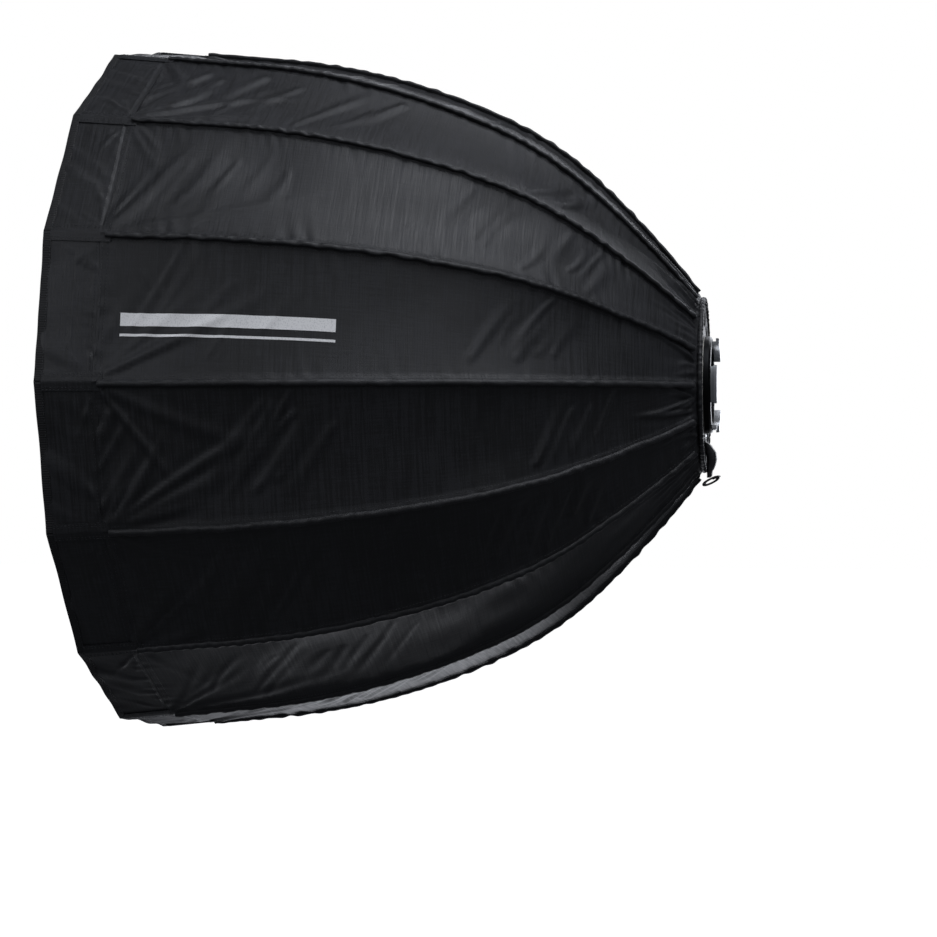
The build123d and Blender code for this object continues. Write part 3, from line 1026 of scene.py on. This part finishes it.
class SOFTBOX_OT_stitches(bpy.types.Operator):
    """Lockstitches along the seams, the lip seam, the rim binding and the tip pockets"""

    bl_idname = "softbox.stitches"
    bl_label = "Stitches"

    def execute(self, context):
        cloth = context.scene.softbox_cloth
        seams = context.scene.softbox_seams
        for index in range(SIDES):
            rows = self.gore_rows(index, cloth, seams)
            obj = stitch_rows(f"gore_stitches_{number(index)}", rows, seams)
            follow_gore(obj, index)
            rows = self.pocket_rows(index, seams)
            obj = stitch_rows(f"pocket_stitches_{number(index)}", rows, seams)
            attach(obj, f"rod_{number(index)}")
        return {"FINISHED"}

    def gore_rows(self, index, cloth, seams):
        """Rows beside both seams, two rows behind the lip seam and one in front of it, and one on the
        binding.
        """
        rows = []
        proud = 0.1 * MM
        runs = np.linspace(0.008, float(run_at(TIP_DEPTH)) - 0.014, 400)
        s = depth_at(runs)
        for side, inset in ((-1, 5.2 * MM), (1, 1.5 * MM + seams.seam_width)):
            u = side * (1 - inset / (seam_radius(s) * math.sin(HALF)))
            rows.append(on_gore(index, s, u, cloth_lift(index, s, u, cloth.sag, cloth.wrinkle) + proud))
        for back in (3.0 * MM, 9.0 * MM):
            u = np.linspace(-0.87, 0.87, 200)
            s = np.full_like(u, TIP_DEPTH - back)
            rows.append(on_gore(index, s, u, cloth_lift(index, s, u, cloth.sag, cloth.wrinkle) + proud))
        u = np.linspace(-0.87, 0.87, 200)
        s = np.full_like(u, TIP_DEPTH + 3.0 * MM)
        rows.append(on_gore(index, s, u, lip_lift(index, s, u, cloth.wrinkle) + proud))
        s = np.full_like(u, RIM_DEPTH - 0.82 * seams.binding_width)
        rows.append(on_gore(index, s, u, rim_wave(index, u) + 1.1 * MM))
        return rows

    def pocket_rows(self, index, seams):
        """Two rows down each side of a tip pocket, and one across its back end."""
        rows = []
        back, front = TIP_DEPTH - 0.010, RIM_DEPTH - seams.binding_width
        s = np.linspace(back, front, 60)
        for inset in (1.8 * MM, 4.2 * MM):
            for side in (-1, 1):
                across = np.full_like(s, side * (seams.pocket_width / 2 - inset))
                rows.append(on_seam(index, s, across, 1.4 * MM - np.abs(across) * math.tan(HALF)))
        across = np.linspace(-1, 1, 21) * (seams.pocket_width / 2 - 1.8 * MM)
        s = np.full_like(across, back)
        rows.append(on_seam(index, s, across, 1.4 * MM - np.abs(across) * math.tan(HALF)))
        return rows


def stitch_tree():
    """Geometry nodes that lay a stitch at every pitch along the rows of a mesh of lines."""
    tree = bpy.data.node_groups.get("Stitch Rows")
    if tree:
        return tree
    tree = bpy.data.node_groups.new("Stitch Rows", "GeometryNodeTree")
    face = tree.interface
    face.new_socket("Geometry", in_out="INPUT", socket_type="NodeSocketGeometry")
    for name in ("Pitch", "Length", "Thread"):
        face.new_socket(name, in_out="INPUT", socket_type="NodeSocketFloat")
    face.new_socket("Seed", in_out="INPUT", socket_type="NodeSocketInt")
    face.new_socket("Material", in_out="INPUT", socket_type="NodeSocketMaterial")
    face.new_socket("Geometry", in_out="OUTPUT", socket_type="NodeSocketGeometry")
    nodes, link = tree.nodes, tree.links.new
    given = nodes.new("NodeGroupInput")
    curve = nodes.new("GeometryNodeMeshToCurve")
    link(given.outputs["Geometry"], curve.inputs[0])
    spots = nodes.new("GeometryNodeCurveToPoints")
    spots.mode = "LENGTH"
    link(curve.outputs[0], spots.inputs["Curve"])
    link(given.outputs["Pitch"], spots.inputs["Length"])
    bead = nodes.new("GeometryNodeMeshUVSphere")
    bead.inputs["Segments"].default_value = 6
    bead.inputs["Rings"].default_value = 3
    bead.inputs["Radius"].default_value = 0.5
    size = nodes.new("ShaderNodeCombineXYZ")
    link(given.outputs["Thread"], size.inputs["X"])
    link(given.outputs["Thread"], size.inputs["Y"])
    link(given.outputs["Length"], size.inputs["Z"])
    chance = nodes.new("FunctionNodeRandomValue")
    chance.data_type = "FLOAT"
    chance.inputs[2].default_value = 0.85
    chance.inputs[3].default_value = 1.1
    link(given.outputs["Seed"], chance.inputs["Seed"])
    scaled = nodes.new("ShaderNodeVectorMath")
    scaled.operation = "SCALE"
    link(size.outputs[0], scaled.inputs[0])
    link(chance.outputs[1], scaled.inputs["Scale"])
    laid = nodes.new("GeometryNodeInstanceOnPoints")
    link(spots.outputs["Points"], laid.inputs["Points"])
    link(bead.outputs["Mesh"], laid.inputs["Instance"])
    link(spots.outputs["Rotation"], laid.inputs["Rotation"])
    link(scaled.outputs[0], laid.inputs["Scale"])
    real = nodes.new("GeometryNodeRealizeInstances")
    link(laid.outputs[0], real.inputs[0])
    soft = nodes.new("GeometryNodeSetShadeSmooth")
    link(real.outputs[0], soft.inputs[0])
    painted = nodes.new("GeometryNodeSetMaterial")
    link(soft.outputs[0], painted.inputs["Geometry"])
    link(given.outputs["Material"], painted.inputs["Material"])
    out = nodes.new("NodeGroupOutput")
    link(painted.outputs[0], out.inputs[0])
    return tree


def stitch_rows(name, rows, seams):
    """Stitches along several rows of points, as one plain mesh."""
    points, edges = [], []
    for row in rows:
        start = len(points)
        points += [tuple(p) for p in row.tolist()]
        edges += [(start + i, start + i + 1) for i in range(len(row) - 1)]
    mesh = bpy.data.meshes.new(name)
    mesh.from_pydata(points, edges, [])
    obj = bpy.data.objects.new(name, mesh)
    bpy.context.scene.collection.objects.link(obj)
    tree = stitch_tree()
    laid = obj.modifiers.new("Stitches", "NODES")
    laid.node_group = tree
    values = {
        "Pitch": seams.stitch_pitch,
        "Length": seams.stitch_length,
        "Thread": seams.thread,
        "Seed": len(name),
        "Material": thread(),
    }
    for item in tree.interface.items_tree:
        if item.in_out == "INPUT" and item.name in values:
            laid[item.identifier] = values[item.name]
    apply_modifiers(obj)
    return obj


def neck_waves(rng, turns, counts):
    """Six sets of pleats round the neck, each a whole number of waves."""
    numbers = rng.integers(*counts, 6)
    sizes = rng.uniform(0.4, 1.0, 6)
    phases = rng.uniform(0, 6.28, 6)
    return sum(size * np.sin(count * turns + phase) for count, size, phase in zip(numbers, sizes, phases))


class SOFTBOX_OT_neck(bpy.types.Operator):
    """The gathered cuff and the corded edge that close the neck round the hub"""

    bl_idname = "softbox.neck"
    bl_label = "Neck Cuff"

    def execute(self, context):
        low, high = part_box("neck_cuff")
        inner, outer = CUFF_INNER_R, float(high[0])
        middle_y = float(low[1] + high[1]) / 2
        turns = np.linspace(0, 2 * math.pi, 721)[:-1]
        pleat = neck_waves(np.random.default_rng(7), turns, (34, 72))
        share, turn = np.meshgrid(np.linspace(0, 1, 22), turns, indexing="ij")
        height = 0.6 * MM * pleat * (1 - 0.55 * share) + 2.2 * MM * np.sin(math.pi * share)
        points = around(inner + (outer + 1.5 * MM - inner) * share, turn, middle_y + height)
        rows, columns = points.shape[:2]
        uv = np.stack([turn * 0.1, share * 0.03], axis=-1).reshape(-1, 2)
        faces = grid_faces(rows, columns, closed=True, flip=True)
        cuff = make_object("neck_cuff_cloth", points.reshape(-1, 3), faces, [nylon()], uv)
        thicken(cuff, 0.8 * MM)
        cord = self.edge(turns, pleat)
        for obj, node in ((cuff, "neck_cuff"), (cord, "neck_binding")):
            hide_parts(node)
            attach(obj, "speedring")
        return {"FINISHED"}

    def edge(self, turns, pleat):
        """The neck edge: cloth gathered over a cord, ridged by its puckers."""
        low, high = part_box("neck_binding")
        middle_y = float(low[1] + high[1]) / 2
        ridge = neck_waves(np.random.default_rng(9), turns, (60, 120))
        centre = float(high[0]) - 2.3 * MM + 0.15 * MM * pleat
        reach = 2.4 * MM + 0.13 * MM * ridge
        bend, turn = np.meshgrid(np.linspace(0, 2 * math.pi, 17)[:-1], turns, indexing="ij")
        r = centre + reach * 1.1 * np.cos(bend)
        points = around(r, turn, middle_y + reach * 1.25 * np.sin(bend))
        rows, columns = points.shape[:2]
        faces = []
        for j in range(rows):
            for i in range(columns):
                a, b = (j + 1) % rows, (i + 1) % columns
                faces.append((j * columns + i, a * columns + i, a * columns + b, j * columns + b))
        uv = np.stack([turn * 0.11, bend * 2.5 * MM], axis=-1).reshape(-1, 2)
        obj = make_object("neck_edge", points.reshape(-1, 3), faces, [nylon()], uv)
        outward(obj)
        return obj


class SOFTBOX_OT_flap(bpy.types.Operator):
    """The padded flap low on the neck and the rolled tab at its end"""

    bl_idname = "softbox.flap"
    bl_label = "Neck Flap"

    def execute(self, context):
        low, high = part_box("neck_flap")
        top, bottom, width = float(high[2]), float(low[2]), float(high[0] - low[0])
        flat = HUB_BACK_Y + 0.05 * MM
        z = np.concatenate([np.linspace(top, -HUB_R, 8)[:-1], np.linspace(-HUB_R, bottom, 46)])
        share = np.clip((z - FLAP_BEND_Z) / (bottom - FLAP_BEND_Z), 0, 1)
        outside = flat + FLAP_CLOTH
        back = outside + (float(high[1]) - outside) * np.sin(math.pi * share**0.92) ** 0.75
        back += (FLAP_END_Y - outside) * smooth(share, 0.8, 1.0)
        front = flat + (FLAP_CLEAR_Y - flat) * smooth(z, -HUB_R, FLAP_SWELL_Z)
        rng = np.random.default_rng(11)
        half = np.maximum((back - front) / 2, 0.7 * MM)
        path = np.stack([np.zeros_like(z), (back + front) / 2, z], axis=-1)
        side = np.repeat(np.array([[1.0, 0, 0]]), len(path), axis=0)
        out = np.repeat(np.array([[0, 1.0, 0]]), len(path), axis=0)
        crease = 1 + 0.06 * ripple(rng, 4, 0.008, 0.03)(z)
        narrow = 1 - 0.12 * smooth(share, 0.3, 1.0)
        section = []
        for turn in np.linspace(0, 2 * math.pi, 41)[:-1]:
            a, b = math.cos(turn), math.sin(turn)
            wide = width / 2 * narrow * np.sign(a) * abs(a) ** 0.35
            section.append(np.stack([wide, half * crease * np.sign(b) * abs(b) ** 0.7], axis=-1))
        section = np.stack(section, axis=1)
        pad = tube_object("neck_flap_pad", path, side, out, section, nylon())
        tab = self.roll(width + 3 * MM)
        for obj, node, slot in ((pad, "neck_flap", "webbing"), (tab, "flap_pull_tab", "webbing")):
            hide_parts(node)
            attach(obj, "neck_flap")
        return {"FINISHED"}

    def roll(self, width):
        """Webbing rolled over twice and sewn: a flat coil, tilted as the flap hangs."""
        low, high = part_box("flap_pull_tab")
        middle = (np.array([*low]) + np.array([*high])) / 2
        turns = np.linspace(0, 2 * math.pi * 2.2, 140)
        wound = turns / turns[-1]
        long_way = np.sign(np.cos(turns)) * np.abs(np.cos(turns)) ** 0.8
        a = 12.1 * MM * (1 - 0.35 * wound) * long_way
        b = 3.7 * MM * (1 - 0.62 * wound) * np.sin(turns)
        y = middle[1] + a * math.cos(TAB_TILT) - b * math.sin(TAB_TILT)
        z = middle[2] + a * math.sin(TAB_TILT) + b * math.cos(TAB_TILT)
        path = np.stack([np.full_like(y, middle[0]), y, z], axis=-1)
        along = np.gradient(path, axis=0)
        along /= np.linalg.norm(along, axis=1)[:, None]
        side = np.repeat(np.array([[1.0, 0, 0]]), len(path), axis=0)
        out = np.cross(side, along)
        section = rounded(width, 1.5 * MM, 24, (0.2, 0.5))
        return tube_object("neck_flap_tab", path, side, out, section, tape())


def disc_lift(turn, share):
    """Waves of a stretched disc of cloth: slack between its corners, flat at the middle."""
    rng = np.random.default_rng(77)
    lift = np.zeros_like(turn)
    for count in (3, 5, 16, 32, 48):
        size = rng.uniform(0.3, 1.0) * 1.6 / math.sqrt(count)
        lift += size * np.sin(count * turn + rng.uniform(0, 6.28))
    return lift * share**2 * (1 - 0.6 * share**6)


class SOFTBOX_OT_diffuser(bpy.types.Operator):
    """The white front diffuser with its hem, in pairs of opposite wedges"""

    bl_idname = "softbox.diffuser"
    bl_label = "Front Diffuser"

    def execute(self, context):
        low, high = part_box("front_diffuser")
        corner = float(high[0]) - 2.5 * MM
        face_y = float(low[1])
        hem_depth = float(low[1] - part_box("diffuser_hem")[0][1])
        wedges = 2 * SIDES
        wedge = 2 * math.pi / wedges
        shares = np.concatenate([np.linspace(0.002, 0.9, 30), np.linspace(0.92, 1, 12)])
        slope = math.tan(math.radians(6.4))
        for index in range(wedges // 2):
            halves = []
            for flip in (0, 1):
                first = wedge * (index + flip * wedges // 2)
                turns = np.linspace(first, first + wedge, 15)
                edge = corner * math.cos(HALF) / np.cos((turns % STEP) - HALF)
                share, turn = np.meshgrid(shares, turns, indexing="ij")
                r = share * edge
                y = face_y + 1.0 * MM * disc_lift(turn, share)
                disc = around(r, turn, y)
                ahead = np.linspace(0, hem_depth, 9)[1:]
                deep, turn = np.meshgrid(ahead, turns, indexing="ij")
                r = edge + deep * slope
                hem = around(r, turn, face_y - deep)
                hem[..., 1] += (y[-1] - face_y)[None, :] * (1 - deep / hem_depth)
                points = np.concatenate([disc, hem])
                uv = points[..., FACE]
                halves.append(sheet_object("half", points, uv, [diffusion_cloth()], DIFFUSION_CLOTH))
            obj = join_objects(f"front_diffuser_cloth_{number(index)}", halves)
            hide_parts("front_diffuser", "diffuser_hem")
            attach(obj, "front_diffuser")
            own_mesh(obj)
        return {"FINISHED"}


class SOFTBOX_OT_baffle(bpy.types.Operator):
    """The inner baffle with its webbing tabs and snaps, in pairs of opposite wedges"""

    bl_idname = "softbox.baffle"
    bl_label = "Inner Baffle"

    def execute(self, context):
        low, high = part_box("inner_baffle")
        corner = float(high[0])
        face_y = float(low[1])
        tab_low, tab_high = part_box("baffle_tabs")
        tab_end = float(tab_high[0])
        tab_y = float(tab_low[1])
        shares = np.linspace(0.002, 1, 40)
        for index in range(SIDES // 2):
            cloths, tabs = [], []
            for flip in (0, 1):
                middle = STEP * (index + flip * SIDES // 2)
                turns = np.linspace(middle - HALF, middle + HALF, 25)
                edge = corner * math.cos(HALF) / np.cos(HALF - np.abs(turns - middle))
                share, turn = np.meshgrid(shares, turns, indexing="ij")
                r = share * edge
                y = face_y + 0.8 * MM * disc_lift(turn, share) * smooth(1 - share, 0, 0.1)
                points = around(r, turn, y)
                uv = points[..., FACE]
                cloths.append(sheet_object("half", points, uv, [diffusion_cloth()], DIFFUSION_CLOTH))
                tabs += self.tab(middle, corner - 12 * MM, tab_end, tab_y)
            cloth = join_objects(f"baffle_cloth_{number(index)}", cloths)
            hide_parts("inner_baffle")
            tab = join_objects(f"baffle_tab_{number(index)}", tabs)
            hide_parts("baffle_tabs", "baffle_snaps")
            for obj, slot in ((cloth, "white_diffusion"), (tab, "webbing")):
                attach(obj, "inner_baffle")
                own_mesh(obj)
        return {"FINISHED"}

    def tab(self, angle, start, end, tab_y):
        """A webbing tab from the disc's edge towards the seam, with a snap near its end."""
        out, side = radial(angle), tangential(angle)
        path = np.array([out * r + (tab_y + 0.4 * MM) * AXIS for r in np.linspace(start, end, 12)])
        section = rounded(20 * MM, 0.9 * MM, 16, (0.2, 0.5))
        sides, ups = np.repeat(side[None], len(path), axis=0), np.repeat(-AXIS[None], len(path), axis=0)
        strap = tube_object("strap", path, sides, ups, section, tape())
        # radius and height of the snap's outline in millimetres: dimple, cap and rim
        profile = [(0.4, -1.5), (1.6, -1.6), (2.0, -1.2), (3.0, -1.0)]
        profile += [(4.4, -0.7), (5.0, -0.1), (5.0, 0.3), (0.4, 0.3)]
        turns = np.linspace(0, 2 * math.pi, 25)[:-1]
        centre = out * (end - 10 * MM) + tab_y * AXIS
        points = []
        for r, y in profile:
            for turn in turns:
                spot = centre + r * MM * (math.cos(turn) * out + math.sin(turn) * side)
                points.append(spot + y * MM * AXIS)
        rows, columns = len(profile), len(turns)
        faces = grid_faces(rows, columns, closed=True)
        faces.append(tuple(range(columns))[::-1])
        faces.append(tuple((rows - 1) * columns + i for i in range(columns)))
        snap = make_object("snap", points, faces, [plated()], np.array(points)[:, FACE])
        outward(snap)
        return [strap, snap]


class SOFTBOX_OT_print(bpy.types.Operator):
    """A plain two-bar print on the panel above the side seam"""

    bl_idname = "softbox.print"
    bl_label = "Printed Bars"

    def execute(self, context):
        cloth = context.scene.softbox_cloth
        index = 0
        bars = []
        runs = np.linspace(*BAR_RUNS, 120)
        for low, high in BARS:
            s, across = np.meshgrid(depth_at(runs), np.linspace(low, high, 7), indexing="ij")
            u = across / (seam_radius(s) * math.sin(HALF))
            lift = cloth_lift(index, s, u, cloth.sag, cloth.wrinkle) + 0.25 * MM
            uv = np.stack([across, np.broadcast_to(runs[:, None], across.shape)], axis=-1)
            bars.append(sheet_object("bar", on_gore(index, s, u, lift), uv, [white_print()], 0.2 * MM))
        obj = join_objects("printed_bars", bars)
        follow_gore(obj, index)
        return {"FINISHED"}


class SOFTBOX_OT_hardware(bpy.types.Operator):
    """Finishes for the mount, the hub, the rods and their small parts"""

    bl_idname = "softbox.hardware"
    bl_label = "Hardware Finishes"

    def execute(self, context):
        anodised = metal("anodised_aluminium_black", "#131315", "#1e1f21", 0.75, 0.4, 0.3)
        cast = metal("die_cast_aluminium_black", "#161617", "#242527", 0.55, 0.52, 0.6)
        steel = metal("drawn_spring_steel", "#6c6e70", "#8f9193", 1.0, 0.32, 0.4)
        acetal = metal("acetal_natural", "#cfccc2", "#dedbd2", 0.0, 0.5, 0.8)
        finishes = {
            "mount_insert": insert_finish(),
            "retaining_ring": anodised,
            "hub_ring": cast,
            "flap_anchor": steel,
            "retaining_screws": plated(),
            "hinge_pins": plated(),
            "latch_rivets": plated(),
            "latch_springs": steel,
            "rear_glide_washer": acetal,
            "front_glide_washer": acetal,
        }
        for index in range(SIDES):
            finishes[f"rod_{number(index)}"] = rod_finish()
        for node, material in finishes.items():
            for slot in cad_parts[node].material_slots:
                slot.material = material
        return {"FINISHED"}


class SOFTBOX_OT_stage(bpy.types.Operator):
    """Pale seamless paper, soft studio lights and the camera"""

    bl_idname = "softbox.stage"
    bl_label = "Stage"

    def execute(self, context):
        stage = context.scene.softbox_stage
        self.paper(stage.floor)
        self.camera(stage)
        self.light("overhead_bank", (0.62, 0.5, 1.95), (0, -0.3, 0), 1.9, stage.overhead)
        self.light("front_bank", (2.3, 1.1, 0.9), (0, -0.3, 0), 1.2, stage.front)
        self.light("mouth_side_bank", (2.0, -1.7, 1.0), (0, -0.6, 0), 1.2, stage.side)
        self.light("mouth_bank", (-0.6, -3.2, 0.9), (0, -0.6, 0), 2.0, stage.mouth)
        self.light("rear_bank", (-2.2, -0.35, 0.5), (0, -0.35, 0.1), 3.2, stage.rear)
        self.light("low_bounce", (-1.1, -0.45, -1.2), (0, -0.4, -0.2), 1.0, stage.low)
        self.surround(context, stage.surround)
        context.scene.view_settings.view_transform = "Standard"
        return {"FINISHED"}

    def surround(self, context, strength):
        """White all round to the eye, and dim as a light, as a black-flagged white cove is."""
        world = bpy.data.worlds.new("Studio")
        world.use_nodes = True
        tree = world.node_tree
        tree.nodes.clear()
        path = tree.nodes.new("ShaderNodeLightPath")
        seen = tree.nodes.new("ShaderNodeBackground")
        seen.inputs["Color"].default_value = linear("#ffffff")
        glow = tree.nodes.new("ShaderNodeBackground")
        glow.inputs["Color"].default_value = linear("#e9eefa")
        glow.inputs["Strength"].default_value = strength
        mix = tree.nodes.new("ShaderNodeMixShader")
        out = tree.nodes.new("ShaderNodeOutputWorld")
        tree.links.new(path.outputs["Is Camera Ray"], mix.inputs[0])
        tree.links.new(glow.outputs[0], mix.inputs[1])
        tree.links.new(seen.outputs[0], mix.inputs[2])
        tree.links.new(mix.outputs[0], out.inputs[0])
        context.scene.world = world

    def paper(self, floor):
        """A wide pale floor, far enough down to leave the box in the air."""
        points = [(x, y, floor) for x in (-30, 30) for y in (-30, 30)]
        obj = make_object("floor", points, [(0, 2, 3, 1)], [backdrop_paper()])
        obj.visible_diffuse = False
        obj.visible_glossy = False

    def light(self, name, place, aim, size, power):
        data = bpy.data.lights.new(name, "AREA")
        data.shape = "DISK"
        data.size = size
        data.energy = power
        data.color = linear("#f4f7ff")[:3]
        lamp = bpy.data.objects.new(name, data)
        bpy.context.scene.collection.objects.link(lamp)
        lamp.location = place
        lamp.rotation_euler = (Vector(aim) - Vector(place)).to_track_quat("-Z", "Y").to_euler()
        lamp.visible_camera = False

    def camera(self, stage):
        turn, lift, roll = stage.azimuth, stage.elevation, stage.roll
        back = Vector(
            (math.cos(turn) * math.cos(lift), math.sin(turn) * math.cos(lift), math.sin(lift))
        )
        across = Vector((-math.sin(turn), math.cos(turn), 0))
        above = Vector(
            (-math.cos(turn) * math.sin(lift), -math.sin(turn) * math.sin(lift), math.cos(lift))
        )
        right = across * math.cos(roll) - above * math.sin(roll)
        up = across * math.sin(roll) + above * math.cos(roll)
        aim = Vector((0, NECK_Y - AIM_DEPTH, 0)) - right * AIM_LEFT - up * AIM_DOWN
        data = bpy.data.cameras.new("camera")
        data.sensor_width = 36
        data.lens = stage.lens
        camera = bpy.data.objects.new("camera", data)
        bpy.context.scene.collection.objects.link(camera)
        camera.matrix_world = Matrix.Translation(aim + back * stage.distance) @ Matrix(
            (right, up, back)
        ).transposed().to_4x4()
        bpy.context.scene.camera = camera


class SOFTBOX_PT_panel(bpy.types.Panel):
    """Lists the softbox's sizes and pieces"""

    bl_idname = "SOFTBOX_PT_panel"
    bl_label = "Softbox"
    bl_space_type = "VIEW_3D"
    bl_region_type = "UI"
    bl_category = "Softbox"

    def draw(self, context):
        for settings in ("softbox_cloth", "softbox_seams", "softbox_stage"):
            group = getattr(context.scene, settings)
            box = self.layout.box()
            for name in group.bl_rna.properties.keys():
                if name not in ("rna_type", "name"):
                    box.prop(group, name)
        for operator in OPERATORS:
            self.layout.operator(operator.bl_idname)


SETTINGS = {
    "softbox_cloth": SOFTBOX_PG_cloth,
    "softbox_seams": SOFTBOX_PG_seams,
    "softbox_stage": SOFTBOX_PG_stage,
}
OPERATORS = (
    SOFTBOX_OT_stage,
    SOFTBOX_OT_gores,
    SOFTBOX_OT_lips,
    SOFTBOX_OT_seams,
    SOFTBOX_OT_stitches,
    SOFTBOX_OT_neck,
    SOFTBOX_OT_flap,
    SOFTBOX_OT_diffuser,
    SOFTBOX_OT_baffle,
    SOFTBOX_OT_print,
    SOFTBOX_OT_hardware,
)
CLASSES = (*SETTINGS.values(), *OPERATORS, SOFTBOX_PT_panel)


def register():
    for kind in CLASSES:
        bpy.utils.register_class(kind)
    for name, group in SETTINGS.items():
        setattr(bpy.types.Scene, name, bpy.props.PointerProperty(type=group))


def unregister():
    for name in SETTINGS:
        delattr(bpy.types.Scene, name)
    for kind in reversed(CLASSES):
        bpy.utils.unregister_class(kind)


def main():
    register()
    for operator in OPERATORS:
        group, name = operator.bl_idname.split(".")
        getattr(getattr(bpy.ops, group), name)()


if __name__ == "__main__":
    main()
